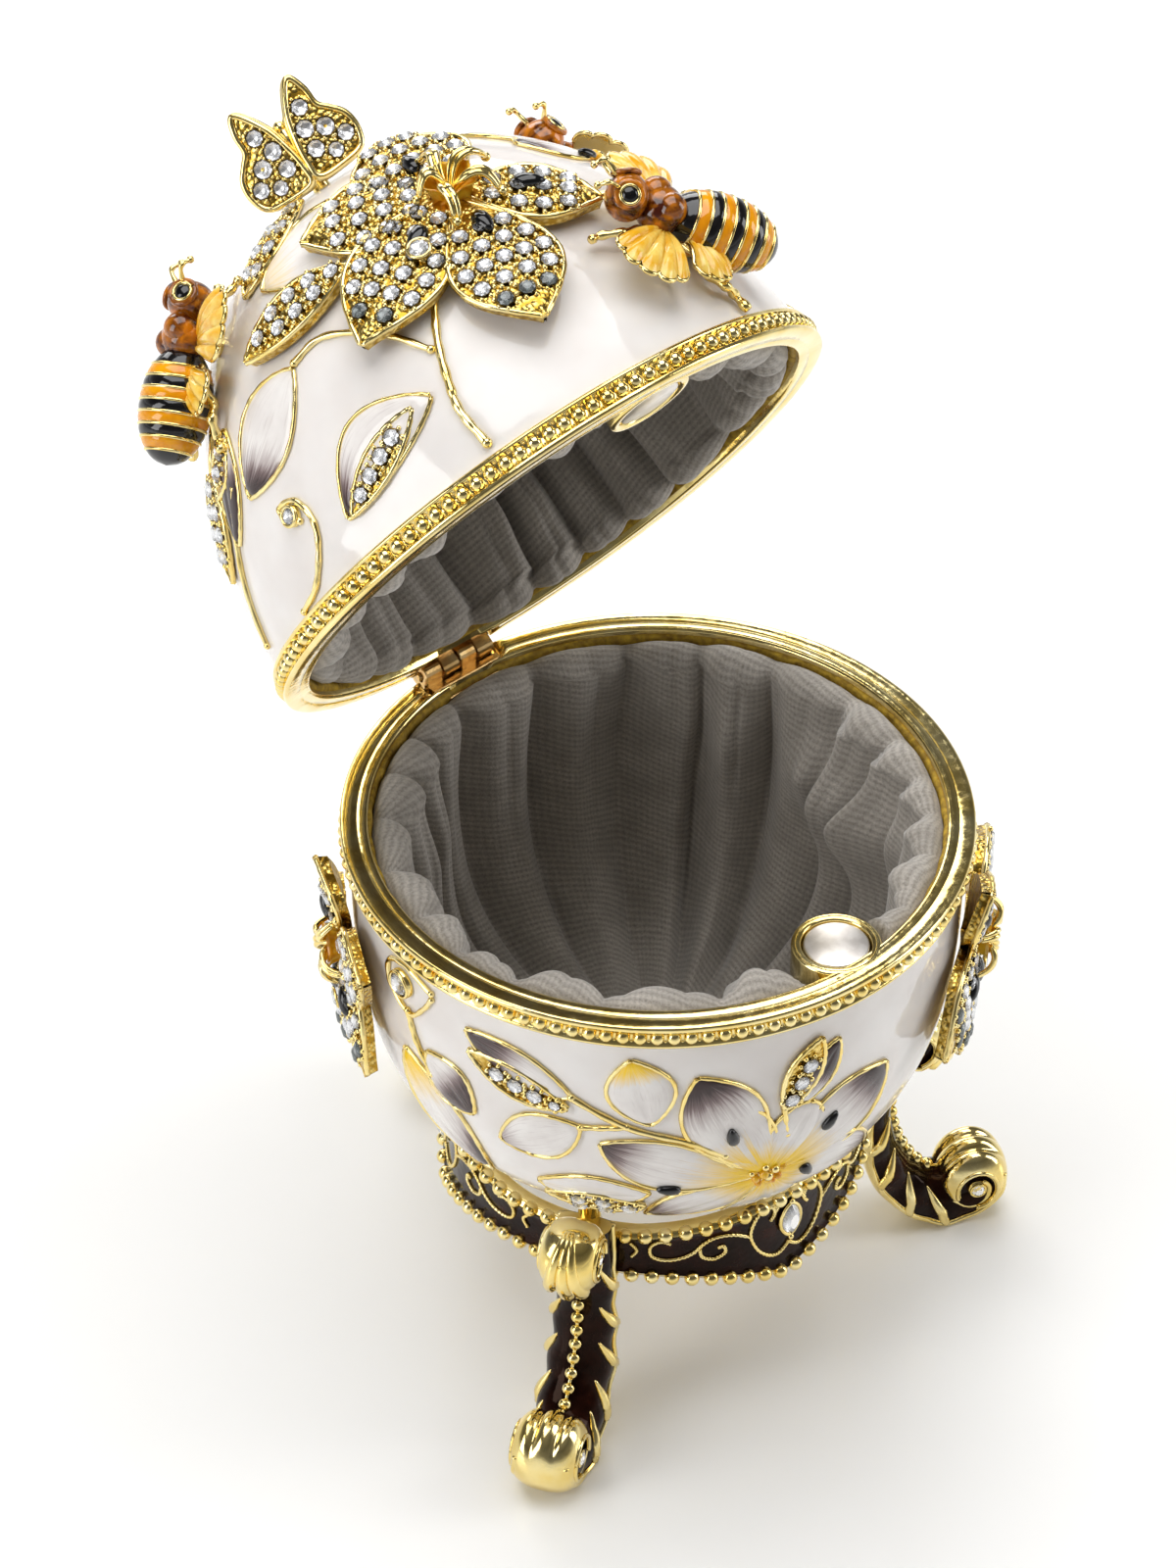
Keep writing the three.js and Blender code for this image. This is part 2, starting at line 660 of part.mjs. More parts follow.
piece(lid, 'lid', shell(lidHalf, relief(lidHalf, lidLeaves, lidFlower)), enamel);
piece(lid, 'lid_lining', lining(lidHalf), fleece);
piece(lid, 'lid_magnet', magnet(lidHalf), steel);
piece(lid, 'lid_hinge_leaf', hingeLeaf(lidHalf, knuckleSpans(1)), gold);
piece(lid, 'lid_orchid', orchid(lidHalf, lidOrchid), gold);
piece(lid, 'lid_spray_leaf', jewelledPetal(lidHalf, sprayLeaf), gold);
piece(lid, 'bee_right', bee(lidHalf, [-67, 33.5], 136), amber);
piece(lid, 'bee_left', bee(lidHalf, [-179.5, 73], 67), amber);
piece(lid, 'bee_back', bee(lidHalf, [0, 71.5], 125), amber);
piece(lid, 'butterfly', butterfly(lidHalf, [-122, 95]), gold);

// The origin is on the floor, under the middle of the whole object.
model.updateMatrixWorld(true);
const bounds = new THREE.Box3().setFromObject(model, true);
const middle = bounds.getCenter(at(0, 0, 0));
model.position.set(-middle.x, -middle.y, -bounds.min.z);

export default model;
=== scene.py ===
# Jewelled egg trinket box: the looks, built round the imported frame.
import json
import math
import random

import bpy
import numpy as np
from mathutils import Matrix


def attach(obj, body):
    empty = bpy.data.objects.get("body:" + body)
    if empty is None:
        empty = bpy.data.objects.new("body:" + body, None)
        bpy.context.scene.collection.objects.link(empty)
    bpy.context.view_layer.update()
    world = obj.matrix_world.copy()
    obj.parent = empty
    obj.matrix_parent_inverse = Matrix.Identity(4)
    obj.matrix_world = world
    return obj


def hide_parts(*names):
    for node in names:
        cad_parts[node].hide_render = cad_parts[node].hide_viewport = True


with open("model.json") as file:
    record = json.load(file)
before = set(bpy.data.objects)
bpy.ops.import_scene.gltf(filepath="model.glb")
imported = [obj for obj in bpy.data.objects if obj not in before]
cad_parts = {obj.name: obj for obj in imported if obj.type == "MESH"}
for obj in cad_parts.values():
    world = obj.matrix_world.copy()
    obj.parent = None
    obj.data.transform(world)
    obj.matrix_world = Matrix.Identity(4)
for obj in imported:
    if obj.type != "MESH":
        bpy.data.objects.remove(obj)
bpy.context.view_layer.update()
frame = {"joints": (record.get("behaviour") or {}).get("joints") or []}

random.seed(7)

# Lengths here are millimetres with the lid closed: rims at height 0, egg axis at x = y = 0, hinge at +Y.
# Places on the egg are [azimuth in degrees, percent of the half's depth].
egg = {
    "rimRadius": 45.0,
    "rimWidth": 4.0,
    "rimGap": 0.3,
    "shoulder": 1.3,
    "bandHeight": 4.4,
    "curveStart": 3.0,
    "wall": 2.2,
    "openAngle": 58.5,
    "bandBeads": 120,
    "beadRadius": 1.04,
    "bandMiddle": 2.3,
    # Recess behind the hinge: half its width, where it starts on Y, and its depth below the parting.
    "recess": (6.9, 41.0, 2.2),
    "ringSteps": 240,
}
skinTop = egg["rimRadius"] - egg["shoulder"]
lidHalf = {"side": 1, "depth": 57.4, "along": 1.83, "across": 2.22, "body": "hinged_lid"}
bowlHalf = {"side": -1, "depth": 57.2, "along": 3.51, "across": 2.36, "body": "bowl_and_stand"}
stand = {"side": 0, "body": "bowl_and_stand"}

joint = next(j for j in frame["joints"] if j["name"] == "lid_hinge")
axisPlace = np.array(joint["pos_m"]) * 1000 - [0, egg["rimRadius"], 0]


def toFrame(half, points):
    # Opens the lid's points about the hinge, then moves them all into the frame, in metres.
    points = np.array(points, float)
    if half["side"] > 0:
        t = math.radians(egg["openAngle"])
        y, z = points[..., 1] - egg["rimRadius"], points[..., 2].copy()
        points[..., 1] = y * math.cos(t) + z * math.sin(t) + egg["rimRadius"]
        points[..., 2] = z * math.cos(t) - y * math.sin(t)
    return (points + axisPlace) / 1000


# Materials

def linear(hexColour):
    channels = [int(hexColour[i:i + 2], 16) / 255 for i in (1, 3, 5)]
    return [c / 12.92 if c <= 0.04045 else ((c + 0.055) / 1.055) ** 2.4 for c in channels] + [1.0]


def setInputs(node, inputs):
    # A node is linked by its first output, a socket as it is, and anything else is a plain value.
    for key, value in inputs.items():
        value = value.outputs[0] if isinstance(value, bpy.types.Node) else value
        if isinstance(value, bpy.types.NodeSocket):
            node.id_data.links.new(value, node.inputs[key])
        else:
            node.inputs[key].default_value = value


def addNode(tree, kind, inputs=None, stops=(), **settings):
    made = tree.nodes.new(kind)
    for key, value in settings.items():
        setattr(made, key, value)
    setInputs(made, inputs or {})
    if stops:
        row = made.color_ramp.elements
        while len(row) < len(stops):
            row.new(0.5)
        for element, (place, colour) in zip(row, stops):
            element.position = place
            element.color = linear(colour) if isinstance(colour, str) else (colour, colour, colour, 1)
    return made


def newMaterial(name, **inputs):
    material = bpy.data.materials.new(name)
    material.use_nodes = True
    tree = material.node_tree
    shader = tree.nodes["Principled BSDF"]
    setInputs(shader, {key.replace("_", " "): value for key, value in inputs.items()})
    return material, tree, shader


def positionMm(tree):
    # Object coordinates in millimetres, so that pattern scales are real sizes.
    place = addNode(tree, "ShaderNodeTexCoord").outputs["Object"]
    return addNode(tree, "ShaderNodeVectorMath", {0: place, 1: (1000, 1000, 1000)}, operation="MULTIPLY")


def mottled(tree, stops, size, detail=3.0, distortion=0.0):
    # Colour or grey in cloudy patches about size millimetres wide.
    cloud = addNode(tree, "ShaderNodeTexNoise", {"Vector": positionMm(tree), "Scale": 1 / size, "Detail": detail,
                                                 "Distortion": distortion})
    return addNode(tree, "ShaderNodeValToRGB", {"Fac": cloud}, stops)


def wavy(tree, strength, height, size, detail):
    # Relief in soft waves, with their height and width in millimetres.
    waves = addNode(tree, "ShaderNodeTexNoise", {"Vector": positionMm(tree), "Scale": 1 / size, "Detail": detail})
    return addNode(tree, "ShaderNodeBump", {"Height": waves, "Strength": strength, "Distance": height / 1000})


def goldPlate():
    # Cast zinc alloy, polished and electroplated in pale gold: mirror-like, with the soft waves of hand polishing.
    material, tree, shader = newMaterial("polishedGoldPlate", Metallic=1.0)
    setInputs(shader, {"Base Color": mottled(tree, [(0.35, "#F0D47E"), (0.65, "#FAE8A8")], 6),
                       "Roughness": mottled(tree, [(0.4, 0.1), (0.7, 0.2)], 1.5, 5),
                       "Normal": wavy(tree, 0.25, 0.25, 2.2, 2)})
    return material


def grainyGold():
    # The same plate over a beaded bed between set stones: tiny raised grains, which break up every reflection.
    material, tree, shader = newMaterial("grainedGoldPlate", Metallic=1.0, Roughness=0.2)
    grains = addNode(tree, "ShaderNodeTexVoronoi", {"Vector": positionMm(tree), "Scale": 1 / 0.8})
    # Painted shade: the tone goes from pale gold on each grain to dark brown in the hollows between the grains.
    tone = addNode(tree, "ShaderNodeValToRGB", {"Fac": grains}, [(0.1, "#F6DC86"), (0.75, "#B08A30")])
    height = addNode(tree, "ShaderNodeValToRGB", {"Fac": grains}, [(0.0, 1.0), (0.7, 0.0)])
    bump = addNode(tree, "ShaderNodeBump", {"Height": height, "Strength": 0.5, "Distance": 0.3 / 1000})
    setInputs(shader, {"Base Color": tone, "Normal": bump})
    return material


def brassStamping():
    # Stamped and tumbled brass of the hinge: paler and duller than the cast pieces.
    material, tree, shader = newMaterial("stampedBrass", Metallic=1.0, Roughness=0.24)
    setInputs(shader, {"Base Color": mottled(tree, [(0.35, "#D9AE6C"), (0.7, "#EBCB92")], 3),
                       "Normal": wavy(tree, 0.15, 0.05, 0.5, 4)})
    return material


def whiteEnamel():
    # Vitreous-look epoxy enamel, poured and kiln dried: deep warm white gloss that pools in soft waves.
    material, tree, shader = newMaterial("whiteGlossEnamel", Roughness=0.07, IOR=1.52, Subsurface_Weight=0.15,
                                         Subsurface_Radius=(0.0012, 0.001, 0.0009))
    setInputs(shader, {"Base Color": mottled(tree, [(0.35, "#E6E0DC"), (0.65, "#F1EDEA")], 14),
                       "Normal": wavy(tree, 0.3, 0.5, 7, 1)})
    return material


def tintedEnamel():
    # The same enamel on petals and leaves, brushed with mauve and yellow while wet, so that the tints end in streaks.
    # The tint attribute holds mauve in red and yellow in green, and the leaf UV runs along and across the leaf.
    material, tree, shader = newMaterial("brushedTintEnamel", Roughness=0.07, IOR=1.52)
    brushed = addNode(tree, "ShaderNodeAttribute", attribute_name="tint")
    tint = addNode(tree, "ShaderNodeSeparateColor", {"Color": brushed})
    leafUv = addNode(tree, "ShaderNodeUVMap", uv_map="leaf")
    stretched = addNode(tree, "ShaderNodeVectorMath", {0: leafUv, 1: (3.5, 16, 1)}, operation="MULTIPLY")
    streak = addNode(tree, "ShaderNodeTexNoise", {"Vector": stretched, "Scale": 1, "Detail": 4, "Distortion": 0.6})
    colour = mottled(tree, [(0.35, "#E5DFDB"), (0.65, "#F0ECE8")], 5)
    tints = (("Green", 0.25, 1.0, "#FFD21E"), ("Red", 0.05, 0.75, "#947F7E"), ("Red", 0.5, 1.05, "#33201F"))
    for channel, low, high, tone in tints:
        shifted = addNode(tree, "ShaderNodeMath", {0: streak, 1: 0.9, 2: -0.45}, operation="MULTIPLY_ADD")
        total = addNode(tree, "ShaderNodeMath", {0: tint.outputs[channel], 1: shifted}, operation="ADD")
        mask = addNode(tree, "ShaderNodeMapRange", {"Value": total, "From Min": low, "From Max": high})
        colour = addNode(tree, "ShaderNodeMix", {0: mask, 6: colour, 7: linear(tone)}, data_type="RGBA").outputs[2]
    setInputs(shader, {"Base Color": colour, "Normal": wavy(tree, 0.25, 0.3, 4, 1)})
    return material


def darkEnamel():
    # Near-black brown transparent enamel over the cast metal, red-brown where it runs thin.
    material, tree, shader = newMaterial("darkBrownEnamel", Roughness=0.1, IOR=1.45, Specular_IOR_Level=0.2,
                                         Specular_Tint=linear("#E0B8A0"))
    setInputs(shader, {"Base Color": mottled(tree, [(0.4, "#0E0504"), (0.62, "#220E09"), (0.82, "#421D12")], 3.5, 4),
                       "Normal": wavy(tree, 0.35, 0.3, 2.5, 2)})
    return material


def bodyEnamel(name, dark, light, size, roughness=0.09):
    # Poured figure enamel with a glassy top; the mottling is where it runs thin over the cast form.
    material, tree, shader = newMaterial(name, Roughness=roughness, IOR=1.52, Coat_Weight=0.25, Coat_Roughness=0.04)
    setInputs(shader, {"Base Color": mottled(tree, [(0.38, dark), (0.66, light)], size, 4, 0.5),
                       "Normal": wavy(tree, 0.3, 0.2, 1.6, 2)})
    return material


def cutCrystal(name, colour, clear=1.0):
    # Machine-cut lead crystal: clear, sharp facets. IOR is that of full lead glass.
    return newMaterial(name, Roughness=0.0, IOR=1.6, Base_Color=linear(colour), Transmission_Weight=clear)[0]


def foilBack():
    # Vacuum-coated silver foil on the back of each stone.
    material, tree, shader = newMaterial("silverFoil", Metallic=0.85, Roughness=0.22)
    setInputs(shader, {"Base Color": mottled(tree, [(0.4, "#E6E8EC"), (0.6, "#FCFCFE")], 1.2)})
    return material


def darkSeat():
    # Dark gold in the cut seat: a dark ring round every stone's girdle.
    material, tree, shader = newMaterial("darkGoldSeat", Metallic=1.0, Roughness=0.35)
    setInputs(shader, {"Base Color": mottled(tree, [(0.4, "#3A2C10"), (0.65, "#6A5220")], 1.5)})
    return material


def knitFleece():
    # Brushed cotton knit: matt, with fine courses of stitches 0.95 mm apart under a short soft nap.
    material, tree, shader = newMaterial("brushedKnitFleece", Roughness=1.0, Sheen_Weight=0.4, Sheen_Roughness=0.5)
    uv = addNode(tree, "ShaderNodeUVMap", uv_map="cloth")
    slanted = addNode(tree, "ShaderNodeMapping", {"Vector": uv, "Rotation": (0, 0, math.radians(12))})
    nap = addNode(tree, "ShaderNodeTexNoise", {"Vector": positionMm(tree), "Scale": 1 / 0.3, "Detail": 5})
    cloud = mottled(tree, [(0.3, "#AEA79E"), (0.7, "#C6BFB6")], 5, 4)
    knit = 0.0
    for vector, pitch, way, share in ((slanted, 0.95, "Y", 0.3), (uv, 0.8, "X", 0.12)):
        # A wave texture of scale 1 repeats every pi / 10 units.
        wave = addNode(tree, "ShaderNodeTexWave", {"Vector": vector, "Scale": math.pi / 10 / pitch, "Distortion": 1.4,
                                                   "Detail": 1, "Detail Scale": 1.5}, bands_direction=way)
        knit = addNode(tree, "ShaderNodeMath", {0: wave.outputs["Fac"], 1: share, 2: knit}, operation="MULTIPLY_ADD")
    fuzz = addNode(tree, "ShaderNodeMath", {0: nap, 1: 1.0, 2: knit}, operation="MULTIPLY_ADD")
    # Painted shade: the colour darkens towards #868078 where the knit and nap are low, following the bump's height.
    depth = addNode(tree, "ShaderNodeMapRange", {"Value": fuzz, "From Min": 0.3, "From Max": 1.0})
    tone = addNode(tree, "ShaderNodeMix", {0: depth, 6: linear("#868078"), 7: cloud}, data_type="RGBA").outputs[2]
    bump = addNode(tree, "ShaderNodeBump", {"Height": fuzz, "Strength": 0.45, "Distance": 0.2 / 1000})
    setInputs(shader, {"Base Color": tone, "Normal": bump})
    return material


def nickelDisc():
    # Nickel-plated magnet, ground flat: pale and satin.
    material, tree, shader = newMaterial("satinNickel", Metallic=1.0, Roughness=0.35)
    setInputs(shader, {"Base Color": mottled(tree, [(0.4, "#D8D2CC"), (0.6, "#E8E3DE")], 2)})
    return material


def glueLine():
    # Yellow adhesive and dyed felt edge that shows between the cloth and the rim.
    material, tree, shader = newMaterial("yellowGlueFelt", Roughness=0.7)
    setInputs(shader, {"Base Color": mottled(tree, [(0.35, "#8A6A12"), (0.7, "#C9A52C")], 1.0, 4),
                       "Normal": wavy(tree, 0.5, 0.2, 0.5, 4)})
    return material


gold = goldPlate()
grained = grainyGold()
brass = brassStamping()
white = whiteEnamel()
tinted = tintedEnamel()
dark = darkEnamel()
amber = bodyEnamel("amberEnamel", "#431402", "#CE7A10", 2.2)
stripeYellow = bodyEnamel("stripeYellowEnamel", "#E08C00", "#F2A808", 3)
stripeBlack = bodyEnamel("stripeBlackEnamel", "#080708", "#141012", 3)
wingCream = bodyEnamel("wingCreamEnamel", "#EDAE1C", "#F9DC74", 2.4)
throatYellow = bodyEnamel("throatYellowEnamel", "#E89A08", "#F9CE3A", 2)
jet = bodyEnamel("jetCabochon", "#030304", "#0A0A0C", 2, 0.04)
crystal = cutCrystal("cutLeadCrystal", "#FFFFFF")
smoke = cutCrystal("smokeCrystal", "#7C8280", 0.9)
foil = foilBack()
seat = darkSeat()
fleece = knitFleece()
nickel = nickelDisc()
felt = glueLine()
print("materials made")


# Mesh making

def unit(vectors):
    vectors = np.asarray(vectors, float)
    return vectors / np.maximum(np.linalg.norm(vectors, axis=-1, keepdims=True), 1e-9)


def turns(count):
    # Angles of count points round a full circle, in radians.
    return np.linspace(0, 2 * math.pi, count, endpoint=False)


def circle(turn, x, y, z=0.0):
    # Points of an ellipse with half axes x and y at height z.
    return np.stack([x * np.cos(turn), y * np.sin(turn), z + 0 * turn], -1)


def spacing(path):
    # Length along a path up to each of its points.
    return np.concatenate([[0], np.cumsum(np.linalg.norm(np.diff(path, axis=0), axis=1))])


def pointsAt(path, length, at):
    return np.stack([np.interp(at, length, path[:, k]) for k in range(3)], -1)


def smoothStep(low, high, value):
    share = np.clip((np.asarray(value, float) - low) / (high - low), 0, 1)
    return share * share * (3 - 2 * share)


class Piece:
    # Gathers shapes in millimetres and makes one mesh of them, which rides on a body.
    def __init__(self, name, half, *materials):
        self.name, self.half, self.materials = name, half, materials
        self.verts, self.faces, self.looks, self.smooth = [], [], [], []
        self.tints, self.uvs, self.count = [], [], 0

    def add(self, verts, faces, look=0, smooth=True, tint=None, uv=None):
        verts = np.asarray(verts, float).reshape(-1, 3)
        self.verts.append(verts)
        self.faces += [[i + self.count for i in face] for face in faces]
        self.looks += [look] * len(faces)
        self.smooth += [smooth] * len(faces)
        self.tints.append(np.zeros((len(verts), 2)) if tint is None else np.asarray(tint).reshape(-1, 2))
        self.uvs.append(np.zeros((len(verts), 2)) if uv is None else np.asarray(uv).reshape(-1, 2))
        self.count += len(verts)

    def grid(self, points, look=0, around=False, along=False, smooth=True, tint=None, uv=None, flip=False):
        rows, columns = points.shape[:2]
        faces = []
        for i in range(rows if along else rows - 1):
            for j in range(columns if around else columns - 1):
                k, m = (i + 1) % rows, (j + 1) % columns
                face = [i * columns + j, i * columns + m, k * columns + m, k * columns + j]
                faces.append(face[::-1] if flip else face)
        self.add(points, faces, look, smooth, tint, uv)

    def tube(self, path, radius, look=0, sides=8, closed=False, normals=None):
        path = np.asarray(path, float)
        radius = np.broadcast_to(radius, len(path))
        ahead = np.roll(path, -1, 0) - np.roll(path, 1, 0)
        if not closed:
            ahead[0], ahead[-1] = path[1] - path[0], path[-1] - path[-2]
        ahead = unit(ahead)
        if normals is None:
            normals = np.tile([0.31, 0.17, 0.93], (len(path), 1))
        side = unit(np.cross(normals, ahead))
        up = np.cross(ahead, side)
        turn = turns(sides)
        ring = side[:, None] * np.cos(turn)[None, :, None] + up[:, None] * np.sin(turn)[None, :, None]
        points = path[:, None] + ring * radius[:, None, None]
        start = self.count
        self.grid(points, look, around=True, along=closed, flip=True)
        if not closed:
            last = start + (len(path) - 1) * sides
            self.faces += [[start + j for j in range(sides)], [last + j for j in range(sides)][::-1]]
            self.looks += [look] * 2
            self.smooth += [True] * 2

    def balls(self, centres, radii, look=0, around=10, along=6, axes=None):
        turn = turns(around)
        tilt = np.linspace(0, math.pi, along + 1)[1:-1]
        ring = np.stack([np.sin(tilt)[:, None] * np.cos(turn), np.sin(tilt)[:, None] * np.sin(turn),
                         np.cos(tilt)[:, None] + 0 * turn], -1).reshape(-1, 3)
        shape = np.concatenate([ring, [[0, 0, 1], [0, 0, -1]]])
        top, low = len(ring), len(ring) + 1
        faces = []
        for i in range(along - 2):
            for j in range(around):
                m = (j + 1) % around
                faces.append([i * around + j, (i + 1) * around + j, (i + 1) * around + m, i * around + m])
        last = (along - 2) * around
        for j in range(around):
            m = (j + 1) % around
            faces += [[top, j, m], [low, last + m, last + j]]
        for i, centre in enumerate(centres):
            size = radii if np.isscalar(radii) else radii[i]
            turned = shape * size
            if axes is not None:
                turned = turned @ np.asarray(axes if np.ndim(axes) == 2 else axes[i])
            self.add(turned + centre, faces, look)

    def build(self, slot, *nodes):
        mesh = bpy.data.meshes.new(self.name)
        verts = toFrame(self.half, np.concatenate(self.verts))
        mesh.from_pydata(verts.tolist(), [], self.faces)
        for material in self.materials:
            mesh.materials.append(material)
        mesh.polygons.foreach_set("material_index", self.looks)
        mesh.polygons.foreach_set("use_smooth", self.smooth)
        tints, uvs = np.concatenate(self.tints), np.concatenate(self.uvs)
        if tints.any():
            colours = np.concatenate([tints, np.zeros((len(tints), 1)), np.ones((len(tints), 1))], 1)
            layer = mesh.color_attributes.new("tint", "FLOAT_COLOR", "POINT")
            layer.data.foreach_set("color", colours.ravel())
        if uvs.any():
            layer = mesh.uv_layers.new(name="cloth" if self.materials[0] is fleece else "leaf")
            corners = np.empty(len(mesh.loops), int)
            mesh.loops.foreach_get("vertex_index", corners)
            layer.data.foreach_set("uv", uvs[corners].ravel())
        mesh.validate()
        made = bpy.data.objects.new(self.name, mesh)
        bpy.context.scene.collection.objects.link(made)
        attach(made, self.half["body"])
        if nodes:
            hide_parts(*nodes)
        return made


def lathe(profile, azimuths):
    # Points of a profile of [radius, height] turned about the egg's axis, as columns round it.
    profile, turn = np.asarray(profile, float), np.radians(azimuths)[:, None]
    return np.stack([profile[:, 0] * np.cos(turn), profile[:, 0] * np.sin(turn), profile[:, 1] + 0 * turn], -1)


def smoothPath(points, count, closed=False):
    # Catmull-Rom curve through the points.
    points = np.asarray(points, float)
    if closed:
        points = np.concatenate([points[-1:], points, points[:2]])
    else:
        points = np.concatenate([2 * points[:1] - points[1:2], points, 2 * points[-1:] - points[-2:-1]])
    spans = len(points) - 3
    t = np.linspace(0, spans, count, endpoint=not closed)
    i = np.minimum(t.astype(int), spans - 1)
    u = (t - i)[:, None]
    a, b, c, d = points[i], points[i + 1], points[i + 2], points[i + 3]
    return 0.5 * (2 * b + (c - a) * u + (2 * a - 5 * b + 4 * c - d) * u ** 2 + (3 * b - a - 3 * c + d) * u ** 3)


# The egg's skin, as in the solids

def skinRadius(half, height):
    share = np.clip((np.asarray(height, float) - egg["curveStart"]) / (half["depth"] - egg["curveStart"]), 0, 1)
    return skinTop * (1 - share ** half["along"]) ** (1 / half["across"])


def skinSlope(half, radius, height):
    rise = half["depth"] - egg["curveStart"]
    share = np.clip((height - egg["curveStart"]) / rise, 0, 1)
    out = half["across"] / skinTop * (radius / skinTop) ** (half["across"] - 1)
    up = half["along"] / rise * share ** (half["along"] - 1)
    return out / np.hypot(out, up), up / np.hypot(out, up)


def onSkin(half, directions, lift=0.0):
    d = unit(directions)
    flat, up = np.maximum(np.hypot(d[..., 0], d[..., 1]), 1e-6), np.abs(d[..., 2])
    near, far = np.zeros(flat.shape), np.full(flat.shape, 200.0)
    rise = half["depth"] - egg["curveStart"]
    for _ in range(32):
        t = (near + far) / 2
        across = (t * flat / skinTop) ** half["across"]
        along = (np.maximum(t * up - egg["curveStart"], 0) / rise) ** half["along"]
        outside = across + along > 1
        near, far = np.where(outside, near, t), np.where(outside, t, far)
    out, rising = skinSlope(half, near * flat, near * up)
    normal = np.stack([out * d[..., 0] / flat, out * d[..., 1] / flat, half["side"] * rising], -1)
    return d * near[..., None] + normal * np.asarray(lift)[..., None], normal


def towards(half, place):
    azimuth, height = math.radians(place[0]), half["depth"] * place[1] / 100
    radius = float(skinRadius(half, height))
    return unit([radius * math.cos(azimuth), radius * math.sin(azimuth), half["side"] * height])


def skinFrame(half, place, lift=0.0, heading=0.0):
    # Rows are east, north and the normal, turned by heading; the origin is on the skin.
    point, normal = onSkin(half, towards(half, place), lift)
    azimuth = math.radians(place[0])
    east = np.array([-math.sin(azimuth), math.cos(azimuth), 0])
    north = unit(np.cross(normal, east))
    c, s = math.cos(math.radians(heading)), math.sin(math.radians(heading))
    return np.array([east * c + north * s, north * c - east * s, normal]), point


def skinPath(half, places, count, lift):
    directions = smoothPath([towards(half, place) for place in places], count)
    return onSkin(half, directions, lift)


# Leaves and petals: s runs from base to tip and v from edge to edge

def leafDirections(half, leaf, s, v):
    start, end = towards(half, leaf["base"]), towards(half, leaf["tip"])
    sideways = unit(np.cross(start, end))
    angle = math.acos(float(np.clip(start @ end, -1, 1)))
    ahead = np.cross(sideways, start)
    wide = leaf.get("wide", 0.5)
    swell = np.sin(math.pi * s ** (math.log(0.5) / math.log(wide))) ** leaf.get("blunt", 0.8)
    reach = leaf["width"] / 2 * np.maximum(swell, 0.03) / egg["rimRadius"]
    bow = leaf.get("bow", 0) * np.sin(math.pi * s) / egg["rimRadius"]
    a, b = (angle * s)[..., None], (bow + v * reach)[..., None]
    return (start * np.cos(a) + ahead * np.sin(a)) * np.cos(b) + sideways * np.sin(b)


def leafPoints(half, leaf, s, v, height):
    s, v = np.broadcast_arrays(np.asarray(s, float), np.asarray(v, float))
    return onSkin(half, leafDirections(half, leaf, s, v), height(s, v))


def leafWire(piece, half, leaf, height, radius, look=0):
    s = 0.5 - 0.5 * np.cos(np.linspace(0, math.pi, 36))
    for v in (-1, 1):
        points, normals = leafPoints(half, leaf, s, v, height)
        wave = 1 + 0.12 * np.sin(np.arange(len(s)) * 1.9 + v)
        piece.tube(points, radius * wave, look, sides=6, normals=normals)


def brilliant(piece, foilPiece, centre, axes, radius):
    # A round cut stone: table, crown and girdle in crystal, its foiled pavilion just below, and a dark seat round it.
    faces = pave["faces"]
    turn = turns(faces)
    half = turn + math.pi / faces
    rings = [(0.56, 0.42, turn), (0.83, 0.26, half), (1.0, 0.04, turn), (1.0, -0.05, turn)]
    points = [[r * math.cos(t), r * math.sin(t), h] for r, h, ts in rings for t in ts]
    points.append([0, 0, -0.3])
    polygons = [list(range(faces))]
    for j in range(faces):
        k = (j + 1) % faces
        a, b, c, e, f, g, h = j, k, faces + j, 2 * faces + j, 2 * faces + k, 3 * faces + j, 3 * faces + k
        polygons += [[a, c, b], [a, e, c], [b, c, f], [c, e, f], [e, g, h, f], [g, 4 * faces, h]]
    placed = np.array(points) * radius @ axes + centre
    piece.add(placed, polygons, smooth=False)
    cone = np.concatenate([circle(turn, 1.03, 1.03, -0.03), [[0, 0, -0.2]]]) * radius @ axes + centre
    foilPiece.add(cone, [[j, (j + 1) % faces, faces] for j in range(faces)], smooth=False)
    collar = np.array([circle(turn, 0.98, 0.98, -0.02), circle(turn, 1.14, 1.14, 0.02)]) * radius @ axes + centre
    foilPiece.grid(collar, 1, around=True, flip=True)


pave = {"stone": 1.2, "faces": 8, "pitch": 3.25, "row": 3.0, "grain": 0.42, "grains": 7, "margin": 0.7, "seat": 0.36,
        "edge": 0.42}


